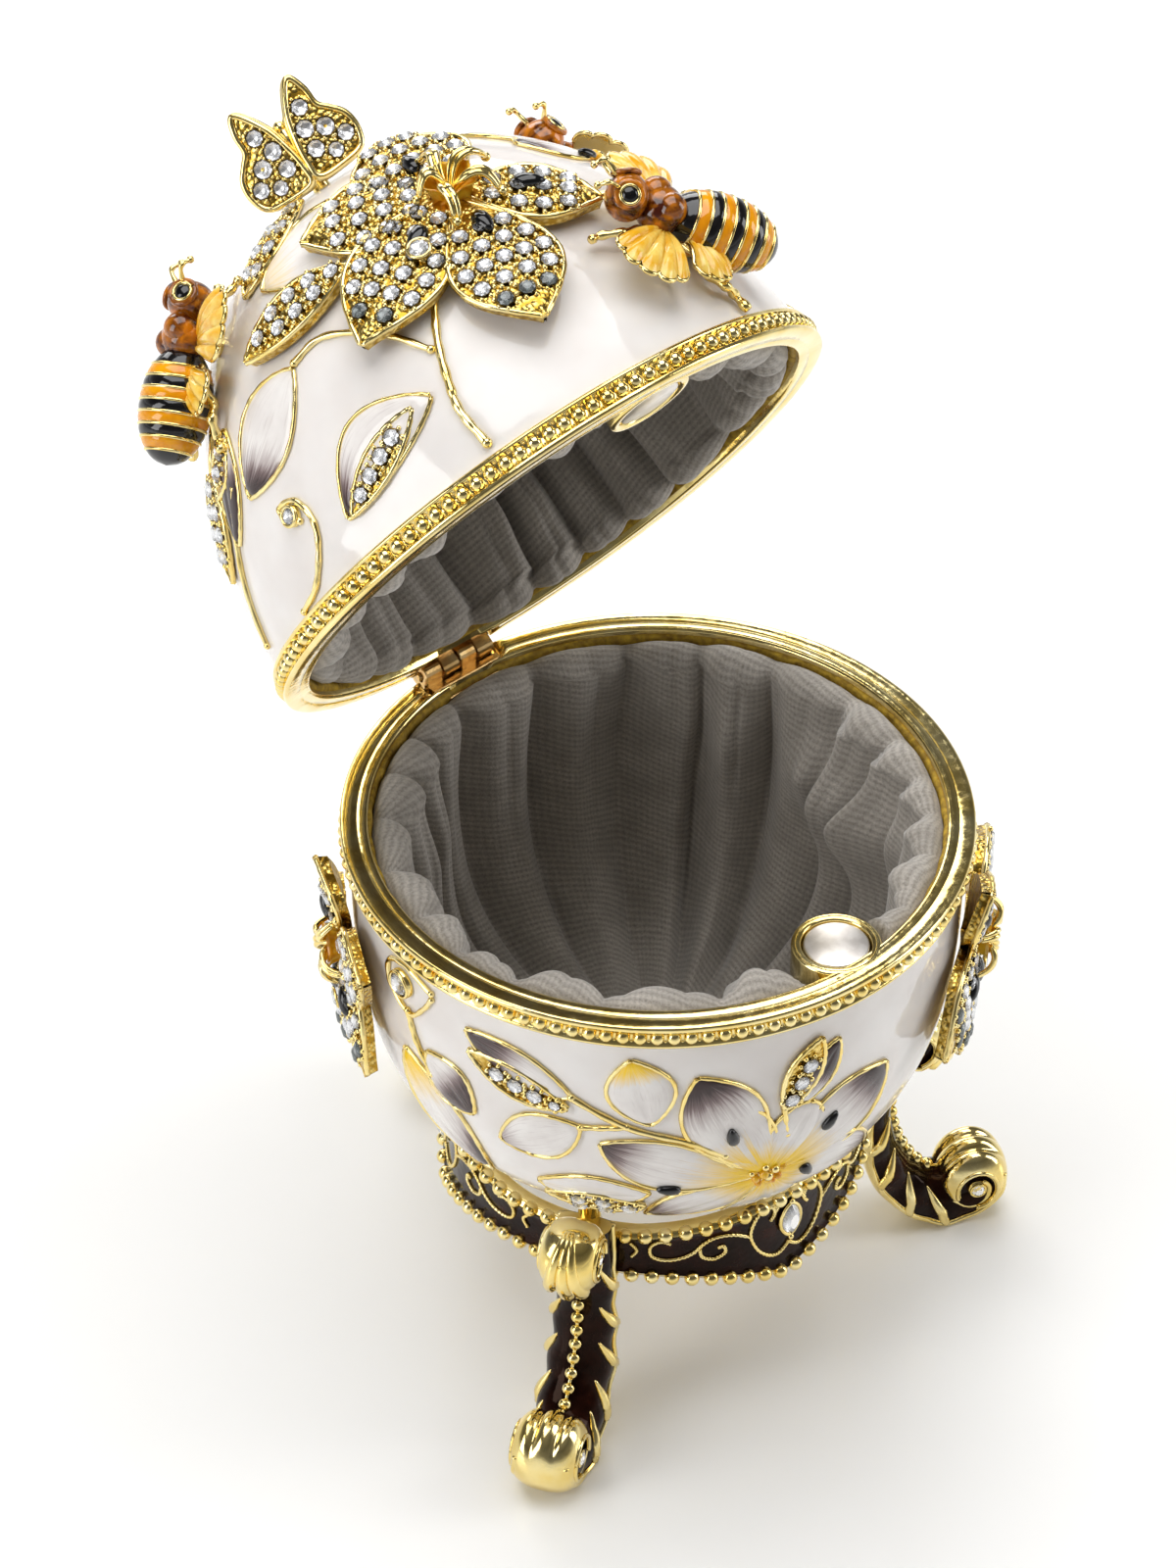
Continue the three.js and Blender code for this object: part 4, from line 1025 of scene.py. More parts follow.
def makeBulb(piece, bulb, place, jewels, spin):
    stones, foils = jewels[0], jewels[1]
    angles = np.linspace(bulb["start"], bulb["end"], 70)[:, None]
    share = np.sin(np.linspace(-math.pi / 2, math.pi / 2, 49))[None]
    skin = bulbSurface(bulb, angles, share)
    rising = bulb["end"] > bulb["start"]
    piece.grid(place(skin), 1, flip=not rising)
    middle = np.array([bulb["x"], 0, bulb["z"]])
    shrink = middle + (skin - middle) * [0.86, 0.98, 0.86]
    piece.grid(place(shrink), 1, flip=rising)
    piece.grid(place(np.stack([skin[-1], shrink[-1]])), 1)
    turn = turns(28)
    for side in (-1, 1):
        rim = skin[:, 0 if side < 0 else -1]
        piece.tube(place(rim), 0.35, 1, 7)
        # Dark side of the bulb, and the coil that leads from its end into the eye.
        disc = np.stack([bulb["x"] + 0.76 * bulb["across"] * np.cos(turn), np.full(28, side * bulb["wide"] * 0.84),
                         bulb["z"] + 0.76 * bulb["high"] * np.sin(turn)], -1)
        centre = np.array([[bulb["x"], side * bulb["wide"] * 0.78, bulb["z"]]])
        piece.grid(place(np.stack([disc, np.repeat(centre, 28, 0)])), 0, around=True, flip=side < 0)
        run = np.linspace(0, 1, 40)
        sweep = np.radians(bulb["end"] + (1 if rising else -1) * 215 * run)
        near = (0.74 - 0.5 * run ** 0.8)
        coil = np.stack([bulb["x"] + bulb["across"] * near * np.cos(sweep), side * bulb["wide"] * (0.88 - 0.04 * run),
                         bulb["z"] + bulb["high"] * near * np.sin(sweep)], -1)
        piece.tube(place(coil), 0.42 + 0.2 * run, 1, 8)
        eye = np.array([bulb["x"], side * bulb["wide"] * 0.84, bulb["z"]])
        axes = np.array([[0, 0, 1], [-side, 0, 0], [0, side, 0]]) @ spin
        piece.balls(place([eye]), [np.array([bulb["eye"] * 1.5, bulb["eye"] * 1.5, 0.75])], 1, 20, 10, axes)
        brilliant(stones, foils, place([eye + [0, side * 0.75, 0]])[0], axes, bulb["eye"])
        ring = circle(turn, bulb["eye"] * 1.12, bulb["eye"] * 1.12) @ axes + place([eye + [0, side * 0.7, 0]])[0]
        piece.tube(ring, 0.2, 1, 6, closed=True)


def makeLeg(name, azimuth, jewels):
    turn = math.radians(azimuth)
    spin = np.array([[math.cos(turn), math.sin(turn), 0], [-math.sin(turn), math.cos(turn), 0], [0, 0, 1]])

    def place(points):
        # Nothing goes below the soles.
        points = np.array(points, float)
        points[..., 2] = np.maximum(points[..., 2], leg["floor"] + 0.02)
        return (points + [leg["back"], 0, 0]) @ spin

    piece = Piece(name + "_casting", stand, dark, gold)
    t = np.linspace(0.02, 1, 120)[:, None]
    phi = np.linspace(-90, 270, 49)[:-1][None]
    shaft = legSurface(t, phi)
    piece.grid(place(shaft), 0, around=True, flip=True)
    for ring, order in ((shaft[0], 1), (shaft[-1], -1)):
        piece.add(place(ring), [list(range(48))[::order]], 1)
    # The back strip is plain gold, a little proud of the enamel.
    strip = legSurface(np.linspace(0.02, 0.99, 120)[:, None], np.linspace(190, 350, 17)[None], 0.12)
    piece.grid(place(strip), 1, flip=True)
    makeBulb(piece, topBulb, place, jewels, spin)
    makeBulb(piece, footBulb, place, jewels, spin)
    # Three broad fingers that run over the top bulb's front and hang from its lower edge.
    for across, drop, wide in leg["fingers"]:
        fan = np.linspace(0.15, 1, 18) * across / topBulb["wide"]
        over = bulbSurface(topBulb, np.linspace(80, -50, 18), fan, -0.4)
        hang = over[-1] + np.linspace(0.3, 1, 4)[:, None] * [-0.5 * drop, -0.15 * across, -drop]
        path = smoothPath(np.concatenate([over, hang]), 60)
        share = np.linspace(0, 1, 60)
        size = wide * (0.35 + 0.65 * share ** 0.7) * np.clip((1.01 - share) * 7, 0.02, 1) ** 0.5
        piece.tube(place(path), size, 1, 12)
    # Beads down the ridge on a fine wire, gold lines along the back edges, and claws that taper towards the ridge.
    run = legSurface(np.linspace(0.22, 0.66, 200), 90.0, 0.15)
    length = spacing(run)
    at = np.arange(0.5, length[-1], leg["beadPitch"])
    piece.balls(place(pointsAt(run, length, at)), leg["bead"], 1, 14, 10)
    piece.tube(place(run), 0.3, 1, 6)
    for side in (-1, 1):
        edge = legSurface(np.linspace(0.02, 0.985, 110), 90 + side * 112.0, 0.0)
        piece.tube(place(edge), leg["edge"], 1, 8)
        for low in leg["claws"]:
            share = np.linspace(0, 1, 20)
            path = legSurface(low - leg["clawLength"] * share ** 1.25, 90 + side * (110 - 68 * share ** 0.85), 0.0)
            size = 0.95 * (1 - share) ** 0.5 * (0.6 + 1.8 * share * (1 - share)) + 0.08
            piece.tube(place(path), size, 1, 8)
    # Peg that carries the egg, behind the top bulb.
    rings = np.array([circle(turns(20), r, r, z) + [0.1 - leg["peg"] / 2, 0, 0]
                      for r, z in ((leg["peg"] + 0.4, -52.5), (leg["peg"], -51.5), (leg["peg"], -44.6))])
    piece.grid(place(rings), 1, around=True)
    piece.build("dark_enamelled_metal", name)


def makeLegs():
    jewels = jewelSet("leg", stand)
    for i, side in enumerate(("back", "left", "right")):
        makeLeg(f"leg_{side}", 90 + apron["legTurn"] + 120 * i, jewels)
    buildJewels(jewels)


makeLegs()
print("legs made")


# Jewelled orchids: paved petals round a throat of curled gold ribbons and yellow enamel

orchid = {
    "rise": 2.9,
    "edge": 0.6,
    "thick": 1.6,
    "cabochon": 2.0,
    "dome": [(0.0, 1.12), (0.5, 1.08), (0.85, 0.86), (1.1, 0.5), (1.18, 0.04)],
    "ribbon": 0.62,
}


def petalHeight(lift):
    return lambda s, v: orchid["rise"] - orchid["edge"] * np.abs(v) ** 1.6 + lift * s ** 2 - 0.5 * (1 - s) ** 6


def makeThroat(piece, half, centre, radius, height, arms, heading):
    axes, origin = skinFrame(half, centre, 1.2, heading)
    turn = turns(40)
    wave = 1 + 0.14 * np.cos(arms * turn)
    rings = [(0.05, 0.36), (0.3, 0.42), (0.62, 0.62), (0.8, 0.84), (0.72, 0.8), (0.5, 0.1)]
    points = np.array([circle(turn, r * radius * wave, r * radius * wave, z * height) for r, z in rings])
    piece.grid(points @ axes + origin, 2, around=True)
    for k in range(arms):
        angle = 2 * math.pi * k / arms
        out = np.array([math.cos(angle), math.sin(angle), 0])
        side = np.array([-math.sin(angle), math.cos(angle), 0])
        long = radius * (1.35 + 0.35 * math.sin(2.1 * k + 0.6))
        share = np.linspace(0, 1, 22)
        reach = long * share
        rise = height * (0.38 + 0.85 * np.sin(share * 2.2) - 0.55 * share ** 3)
        sway = 0.16 * radius * np.sin(share * 5 + k)
        path = out * reach[:, None] + side * sway[:, None] + np.array([0, 0, 1]) * rise[:, None]
        width = orchid["ribbon"] * (0.9 + 0.5 * np.sin(math.pi * share)) * (radius / 4.6)
        for across in (-1, 1):
            offset = side * (across * 0.55 * width)[:, None]
            piece.tube((path + offset) @ axes + origin, width * 0.62, 1, 7)
        curl = path[-1] + out * 0.35 + np.array([0, 0, -0.35])
        piece.balls([curl @ axes + origin], 0.8 * orchid["ribbon"] * radius / 4.6 + 0.2, 1, 10, 7)


def makeOrchid(half, name, node, shape, jewels):
    piece = Piece(name, half, grained, gold, throatYellow, jet)
    for azimuth, percent, width, lift, wide, smokeFrom, black in shape["petals"]:
        leaf = {"base": shape["centre"], "tip": [azimuth, percent], "width": width * 1.06, "wide": wide, "blunt": 1.0}
        height = petalHeight(lift)
        paved(half, leaf, piece, jewels, height, foot=orchid["thick"], first=0.2, smokeFrom=smokeFrom)
        if black:
            point, normal = leafPoints(half, leaf, black, 0.12, height)
            ahead, _ = leafPoints(half, leaf, black + 0.05, 0.12, height)
            x = unit(ahead - point)
            axes = np.array([x, unit(np.cross(normal, x)), normal])
            teardrop(piece, axes, point + normal * 0.2, orchid["cabochon"], 0.56, orchid["dome"])
    makeThroat(piece, half, shape["centre"], shape["cup"], shape["cupHeight"], shape["arms"], shape["heading"])
    place, size = shape["stone"]
    axes, point = skinFrame(half, place, 4.4, 0)
    brilliant(jewels[0], jewels[1], point, axes, size)
    jewels[2].tube(point + circle(turns(18), size * 1.1, size * 1.1) @ axes, 0.25, 0, 6, closed=True)
    piece.build("gold_plate", node)


lidJewels = jewelSet("lid_jewels", lidHalf)
bowlJewels = jewelSet("bowl_jewels", bowlHalf)
lidOrchid = {
    "centre": [-99, 66], "cup": 4.6, "cupHeight": 4.6, "arms": 5, "heading": 20, "stone": ([-113.5, 55], 1.45),
    # Each petal: tip, width, curl, widest share, where dark stones start, where the black jewel lies.
    "petals": [
        (-134, 76, 11, 0.6, 0.55, 2, 0), (-132, 44, 12, 1.6, 0.55, 0.7, 0.36),
        (-104, 25, 13, 2.2, 0.58, 0.74, 0.3), (-76, 46, 9.5, 0.6, 0.55, 2, 0.5), (-96, 90, 13, 0.3, 0.55, 2, 0.42),
    ],
}


def sideOrchid(azimuth):
    petals = [(-24, 41.5, 11, 0.7, 0.4), (-6, 8.5, 10, 2, 0.4), (20, 19, 10, 2, 0), (18, 50.5, 10, 0.72, 0.45),
              (-4, 63, 11, 0.7, 0.35)]
    return {"centre": [azimuth, 29.5], "cup": 4.0, "cupHeight": 4.0, "arms": 5, "heading": 0,
            "stone": ([azimuth + 3, 43], 1.3),
            "petals": [(azimuth + away, percent, width, 2.5, 0.55, smokeFrom, black)
                       for away, percent, width, smokeFrom, black in petals]}


makeOrchid(lidHalf, "lid_orchid_fine", "lid_orchid", lidOrchid, lidJewels)
makeOrchid(bowlHalf, "bowl_orchid_right_fine", "bowl_orchid_right", sideOrchid(-50), bowlJewels)
makeOrchid(bowlHalf, "bowl_orchid_left_fine", "bowl_orchid_left", sideOrchid(150), bowlJewels)

spray = Piece("lid_spray_leaf_fine", lidHalf, grained)
paved(lidHalf, {"base": [-127, 64.5], "tip": [-158, 62], "width": 6}, spray, lidJewels,
      lambda s, v: 2.9 - 0.6 * np.abs(v) ** 1.6, foot=1.6)
spray.build("gold_plate", "lid_spray_leaf")
print("orchids made")


# Bees: X runs to the head, Y across and Z away from the egg

bee = {
    "size": 1.2,
    "lift": 0.3,
    "abdomen": (-5.04, 3.84, 6.96, 4.2, 4.08),
    "thorax": ((2.7, 0, 3.8), (2.8, 3.1, 2.9)),
    "head": ((6.9, 0, 3.9), (2.5, 3.1, 2.75)),
    "bands": [1.0, 0.62, 0.42, 0.22, 0.02, -0.18, -0.38, -0.58, -0.78, -1.0],
    "wings": [((1.8, 1.8), 72, 10.2, 36, 5), ((-0.6, 2.0), 131, 7.2, 30, 4)],
    "wingHeight": 2.4,
}


def makeBee(name, node, place, heading):
    axes, origin = skinFrame(lidHalf, place, bee["lift"], heading)
    axes = axes * bee["size"]
    piece = Piece(name, lidHalf, amber, stripeYellow, stripeBlack, wingCream, gold, jet)

    def put(points):
        return np.asarray(points, float) @ axes + origin

    x0, z0, rx, ry, rz = bee["abdomen"]
    turn = turns(36)
    for k, (high, low) in enumerate(zip(bee["bands"], bee["bands"][1:])):
        share = np.linspace(high, low, 7)
        bulge = 1 + 0.035 * np.sin(np.linspace(0, math.pi, 7))
        if k == 0:
            bulge = np.ones(7)
        width = np.sqrt(np.maximum(1 - np.abs(share) ** 2.2, 0.0004)) * bulge
        points = np.stack([(x0 + rx * share)[:, None] + 0 * turn, ry * width[:, None] * np.cos(turn),
                           z0 + rz * width[:, None] * np.sin(turn)], -1)
        piece.grid(put(points), 2 if k % 2 == 0 else 1, around=True)
        if 0 < k:
            ring = np.stack([x0 + rx * high + 0 * turn, ry * width[0] * 1.005 * np.cos(turn),
                             z0 + rz * width[0] * 1.005 * np.sin(turn)], -1)
            piece.tube(put(ring), 0.26, 4, 6, closed=True)
    centre, size = bee["thorax"]
    piece.balls(put([centre]), [np.array(size)], 0, 22, 14, axes)
    piece.balls(put([[centre[0] - 0.6, 1.2, centre[2] + 1.2], [centre[0] + 0.9, -1.2, centre[2] + 1.1]]),
                [np.array([1.9, 2.0, 2.0])] * 2, 0, 18, 12, axes)
    centre, size = bee["head"]
    piece.balls(put([centre]), [np.array(size)], 0, 26, 16, axes)
    for side in (-1, 1):
        # Eye: a black disc in a pale gold ring, in a dark amber rim.
        out = unit([0.28, side * 0.72, 0.62])
        middle = np.array(centre) + out * np.array(size) * 0.93
        across = unit(np.cross(out, [1, 0, 0]))
        up = np.cross(out, across)
        ringShape = np.cos(turn)[:, None] * across + np.sin(turn)[:, None] * up
        piece.tube(put(middle + ringShape * 1.5), 0.4, 0, 8, closed=True)
        piece.tube(put(middle + out * 0.25 + ringShape * 1.08), 0.26, 4, 8, closed=True)
        dome = [middle + out * h + ringShape * r for r, h in ((1.0, 0.1), (0.85, 0.38), (0.5, 0.52), (0.03, 0.56))]
        piece.grid(put(dome), 5, around=True, flip=True)
        for root, aim, long, spread, fingers in bee["wings"]:
            fan = np.linspace(-1, 1, 8 * fingers + 1)
            angle = np.radians(aim + spread * fan)
            lobes = np.abs(np.cos(fan * math.pi / 2 * fingers + (fingers % 2 == 0) * math.pi / 2)) ** 0.5
            reach = long * (1 - 0.24 * np.abs(fan) ** 2.5) * (0.9 + 0.1 * lobes)
            share = np.linspace(0.08, 1, 12)[:, None]
            rib = 0.55 * lobes * np.sin(math.pi * share ** 1.3) ** 0.6
            droop = bee["wingHeight"] + 0.9 * np.sin(share * 2.4) - 0.5 * share ** 2 + 0 * fan
            x = root[0] + share * reach * np.cos(angle)
            y = side * (root[1] + share * reach * np.sin(angle))
            thin = 1 - 0.75 * share ** 6
            piece.grid(put(np.stack([x, y, droop + 0.35 + rib], -1)), 3, flip=side > 0)
            piece.grid(put(np.stack([x, y, droop - 0.5 * thin], -1)), 4, flip=side < 0)
            border = np.stack([x[-1], y[-1], droop[-1] + 0.05], -1)
            start = np.stack([x[:, 0], y[:, 0], droop[:, 0]], -1)
            end = np.stack([x[:, -1], y[:, -1], droop[:, -1]], -1)
            piece.tube(put(np.concatenate([start, border[1:-1], end[::-1]])), 0.34, 4, 7)
        # Hind leg, wavy along the abdomen, a short front leg and a feeler.
        hind = smoothPath([(-0.5, 2.4, 2.2), (-2.5, 4.6, 2.4), (-4.6, 4.4, 0.6), (-6.6, 5.8, 0.8), (-8.4, 5.2, -0.3),
                           (-10.0, 6.6, -0.6)], 40)
        front = smoothPath([(4.4, 1.8, 1.6), (6.8, 3.8, 1.6), (8.8, 3.8, 0.3), (10.0, 4.8, -0.1)], 26)
        feeler = smoothPath([(8.6, 1.2, 5.4), (10.4, 2.2, 6.2), (11.4, 2.0, 5.2)], 16)
        for path, thick in ((hind, 0.68), (front, 0.6), (feeler, 0.38)):
            path = path * [1, side, 1]
            piece.tube(put(path), thick * (1 + 0.18 * np.sin(np.arange(len(path)) * 0.9)), 4, 8)
        piece.balls(put([feeler[-1] * [1, side, 1]]), 0.55, 4, 8, 6)
    post = np.array([circle(turn, 1.3, 1.3, z) + [2.5, 0, 0] for z in (-1.8, 1.8)])
    piece.grid(put(post), 4, around=True)
    piece.build("enamelled_metal", node)


makeBee("bee_right_fine", "bee_right", [-68.5, 32], 136)
makeBee("bee_left_fine", "bee_left", [-179.5, 73], 67)
makeBee("bee_back_fine", "bee_back", [0, 71.5], 125)
print("bees made")


# Butterfly: two upright wings in thick gold frames, paved on both faces

butterfly = {
    "place": [-122, 95],
    "lift": 1.1,
    "lean": 15.0,
    "fold": 14.0,
    "thick": 1.5,
    "outline": [(0.4, 0.2), (0.1, 3.0), (0.5, 6.2), (1.6, 10.0), (4.2, 14.0), (5.5, 11.8), (5.7, 9.0), (6.9, 7.6),
                (8.4, 5.8), (8.7, 3.4), (7.6, 0.8), (4.4, 0.1)],
    # Each part of the body: its place, half its width and half its length.
    "body": [(0, 1.0, 1.4, 1.3, 2.0), (0, 1.3, 4.2, 1.35, 2.0), (0, 1.4, 7.2, 1.25, 2.0), (0, 1.6, 9.2, 1.1, 1.1)],
    # Each stone: its place on the wing and its radius.
    "stones": [(2.0, 3.7, 1.25), (2.3, 6.8, 1.3), (3.4, 9.7, 1.2), (4.9, 5.6, 1.35), (6.8, 3.4, 1.2), (4.3, 2.1, 1.1)],
}


def makeButterfly():
    axes, origin = skinFrame(lidHalf, butterfly["place"], butterfly["lift"])
    lean = math.radians(-butterfly["lean"])
    turnX = np.array([[1, 0, 0], [0, math.cos(lean), math.sin(lean)], [0, -math.sin(lean), math.cos(lean)]])
    piece = Piece("butterfly_fine", lidHalf, grained, gold)
    stones, foils = lidJewels[0], lidJewels[1]
    outline = smoothPath([(x, z, 0) for x, z in butterfly["outline"]], 72, closed=True)[:, :2]
    middle = np.array([3.9, 5.2])
    for side in (-1, 1):
        fold = math.radians(side * butterfly["fold"])
        turnZ = np.array([[math.cos(fold), math.sin(fold), 0], [-math.sin(fold), math.cos(fold), 0], [0, 0, 1]])

        def put(x, y, z):
            return np.stack([side * np.asarray(x, float), y + 0 * np.asarray(x, float), z + 0 * np.asarray(x, float)],
                            -1) @ turnZ @ turnX @ axes + origin

        shares = [1.0, 0.97, 0.7, 0.35, 0.02]
        for face, depth in ((-1, butterfly["thick"]), (1, 0.0)):
            rings = []
            for k in shares:
                flat = middle + (outline - middle) * k
                dome = (0.25 * (1 - k ** 2)) * face
                rings.append(put(flat[:, 0], -depth + dome, flat[:, 1]))
            piece.grid(np.array(rings), 0, around=True, flip=(face * side) > 0)
        back, front = put(outline[:, 0], 0.0, outline[:, 1]), put(outline[:, 0], -butterfly["thick"], outline[:, 1])
        piece.grid(np.array([back, front]), 1, around=True, flip=side > 0)
        for ring in (back, front):
            piece.tube(ring, 0.5, 1, 8, closed=True)
        for x, z, size in butterfly["stones"]:
            for face, depth in ((-1, -butterfly["thick"] - 0.25), (1, 0.25)):
                spot = put(np.array([x]), depth, np.array([z]))[0]
                out = (put(np.array([x]), depth + face, np.array([z]))[0] - spot)
                out = unit(out)
                across = unit(np.cross(out, [0.1, 0.2, 0.97]))
                settingAxes = np.array([across, np.cross(out, across), out])
                brilliant(stones, foils, spot + out * 0.2, settingAxes, size)
                for k in range(8):
                    angle = k * math.pi / 4 + x
                    reach = size + 0.32
                    grain = spot + (settingAxes[0] * math.cos(angle) + settingAxes[1] * math.sin(angle)) * reach
                    piece.balls([grain], 0.33, 1, 6, 4)
        feeler = smoothPath([(0.3, 1.4, 8.4), (1.6, 2.6, 10.6), (3.4, 3.8, 12.2), (4.8, 4.2, 11.8)], 20) * [side, 1, 1]
        path = feeler @ turnX @ axes + origin
        piece.tube(path, 0.36, 1, 7)
        piece.balls(path[-1:], 0.72, 1, 10, 7)
    body = np.array(butterfly["body"])
    piece.balls(body[:, :3] @ turnX @ axes + origin, body[:, [3, 3, 4]], 1, 14, 10, turnX @ axes)
    post = np.array([circle(turns(18), 1.3, 1.3, z) + [0, 1.0, 0] for z in (-2.4, 1.2)])
    piece.grid(post @ axes + origin, 1, around=True)
    piece.build("gold_plate", "butterfly")


makeButterfly()
print("butterfly made")


# Enamel leaves and flowers: soft relief between gold wires, tinted at tips and throats

relief = {
    "rise": 0.62,
    "bed": 0.14,
    "wire": 0.34,
    "wireUp": 0.26,
    "flush": 0.45,
    "cabochon": 1.8,
    "dome": [(-0.09, 0.96), (0.225, 1.0), (0.54, 0.86), (0.765, 0.55), (0.855, 0.05)],
}


def enamelHeight(s, v):
    # Pooled enamel: full in the middle, thin at the wires, with a shallow vein.
    pool = (1 - np.abs(v) ** 2.6) ** 0.6 * smoothStep(0, 0.1, s) * (1 - smoothStep(0.92, 1, s))
    vein = 0.18 * np.exp(-(v / 0.08) ** 2) * smoothStep(0.05, 0.2, s) * (1 - smoothStep(0.75, 0.9, s))
    return relief["bed"] + relief["rise"] * pool - vein


def flushHeight(s, v):
    return relief["flush"] + 0.25 * (1 - np.abs(v) ** 2)


def enamelLeaf(piece, half, leaf):
    # mauve is where the tint starts along the leaf, its amount, and its lean to one side; yellow is where it
    # ends and its amount, and goldTip is yellow at the tip.
    s = np.linspace(0, 1, 30)[:, None]
    v = np.linspace(-1, 1, 17)[None]
    points, _ = leafPoints(half, leaf, s, v, enamelHeight)
    start, amount, slant = leaf.get("mauve", (0.5, 0.9, 0.0))
    place = s + slant * v
    red = amount * smoothStep(start, start + 0.5, place)
    end, strength = leaf.get("yellow", (0.25, 0.0))
    green = strength * (1 - smoothStep(0, end, s)) + leaf.get("goldTip", 0.0) * smoothStep(0.5, 0.9, place) + 0 * v
    piece.grid(points, 0, tint=np.stack([red, green], -1), uv=np.stack([s + 0 * v, v + 0 * s], -1) + len(piece.verts),
               flip=True)
    leafWire(piece, half, leaf, lambda s, v: relief["wireUp"], relief["wire"], 1)


def stem(piece, half, places, radius):
    points, normals = skinPath(half, places, 12 * len(places), 0.3)
    size = radius * (1 + 0.1 * np.sin(np.arange(len(points)) * 0.8))
    piece.tube(points, size, 1, 8, normals=normals)
    piece.balls(points[[0, -1]], radius * 1.25, 1, 10, 7)


def bezel(piece, half, jewels, place, size):
    axes, point = skinFrame(half, place, 0.55)
    ring = circle(turns(24), 1, 1)
    cup = np.array([ring * [size * r, size * r, 0] + [0, 0, h] for r, h in ((1.35, -0.5), (1.32, 0.3), (1.1, 0.55))])
    piece.grid(cup @ axes + point, 1, around=True)
    piece.tube(ring * size * 1.18 @ axes + point + axes[2] * 0.4, 0.26, 1, 7, closed=True)
    brilliant(jewels[0], jewels[1], point + axes[2] * 0.35, axes, size)


def makeRelief(half, name, layout, jewels):
    piece = Piece(name + "_enamel_relief", half, tinted, gold, throatYellow, jet)
    for base, tip, width, extra in layout["leaves"]:
        enamelLeaf(piece, half, {"base": base, "tip": tip, "width": width, **extra})
    for centre, heading, petals in layout["flowers"]:
        for tip, width, extra in petals:
            enamelLeaf(piece, half, {"base": centre, "tip": tip, "width": width, "wide": 0.6,
                                     "yellow": (0.62, 1.35), "mauve": (0.55, 1.2, 0.0), **extra})
        axes, point = skinFrame(half, centre, 0.5, heading)
        for k in range(11):
            out = 0.9 * math.sqrt(k)
            spot = np.array([out * math.cos(2.4 * k), out * math.sin(2.4 * k), 0.55 - 0.06 * out ** 2])
            piece.balls([spot @ axes + point], 0.75 - 0.03 * k, 2 if k % 3 else 1, 9, 6)
    for place, heading in layout["cabochons"]:
        axes, point = skinFrame(half, place, 0.75, heading)
        teardrop(piece, axes, point, relief["cabochon"], 0.5, relief["dome"])
    for places, radius in layout["stems"]:
        stem(piece, half, places, radius)
    for place, size in layout["crystals"]:
        bezel(piece, half, jewels, place, size)
    piece.build("enamelled_metal")
    bed = Piece(name + "_flush_pave", half, grained)
    for base, tip, width in layout["paved"]:
        paved(half, {"base": base, "tip": tip, "width": width}, bed, jewels, flushHeight)
    bed.build("gold_plate")


# Leaves as base, tip, width and tints; flowers as centre, heading and petals; cabochons as place and heading.
lidLayout = {
    "leaves": [
        ([-149, 55], [-173, 38.5], 10.5, {"mauve": (0.5, 1.2, 0.1)}),
        ([-127, 27.5], [-152.4, 16.7], 9.5, {"mauve": (0.55, 1.3, 0.0), "bow": -2.4}),
        ([-110, 76.5], [-153, 78.5], 12.5, {"mauve": (0.9, 0.4, 0.0), "goldTip": 0.5}),
        ([-176, 57.5], [176, 33], 6.5, {"mauve": (0.1, 1.2, 0.0)}),
        ([150, 59], [140, 35], 9, {"mauve": (0.45, 1.2, 0.0)}),
        ([60, 38.5], [38, 55.5], 10, {"mauve": (0.5, 1.2, 0.0)}),
        ([120, 38.5], [142, 59], 10, {"mauve": (0.5, 1.1, 0.1)}),
        ([90, 59], [92, 87], 11, {"yellow": (0.5, 0.9)}),
        ([-20, 21], [-2, 35], 9, {"mauve": (0.4, 1.2, 0.0)}),
    ],
    "flowers": [
        ([-40, 66], 0, [([-62, 76.5], 9, {}), ([-50, 42], 9, {}), ([-22, 45.5], 9, {}), ([-12, 73], 9, {}),
                        ([-48, 90.5], 10, {})]),
    ],
    "cabochons": [([-50, 66], 160), ([-34, 58], 290), ([-31, 72], 40)],
    "stems": [
        ([[-115.8, 48.1], [-120.6, 37.1], [-123.1, 27.6], [-124.3, 20.1], [-123.6, 10.4]], 0.62),
        ([[-148.2, 55.8], [-139.5, 56.1], [-128.5, 47.1], [-122.4, 36.7]], 0.5),
        ([[-162.2, 24.6], [-165.2, 27.0], [-165.6, 30.6], [-161.2, 29.3], [-159.3, 22.9], [-161.3, 16.5],
          [-166.9, 10.3], [-173.3, 8.4]], 0.45),
        ([[-178, 44], [176.4, 36.2], [170.3, 25.5], [165, 12]], 0.42),
        ([[178, 62], [170, 52], [160, 46], [152, 56]], 0.45),
        ([[124, 30], [108, 34], [92, 58]], 0.45), ([[92, 58], [76, 42], [60, 38.5]], 0.45),
        ([[-30, 10], [-22, 20], [-24, 34], [-36, 60]], 0.5),
    ],
    "crystals": [([-163.4, 26.9], 1.15)],
    "paved": [
        ([-131, 27.5], [-151, 16.3], 4.6), ([-175.9, 55], [174, 46], 5), ([172, 52.5], [164, 29.5], 7),
        ([-133.5, 94], [-160, 80], 6.5), ([118, 26], [102, 34], 6), ([28, 30], [12, 40], 7),
    ],
}
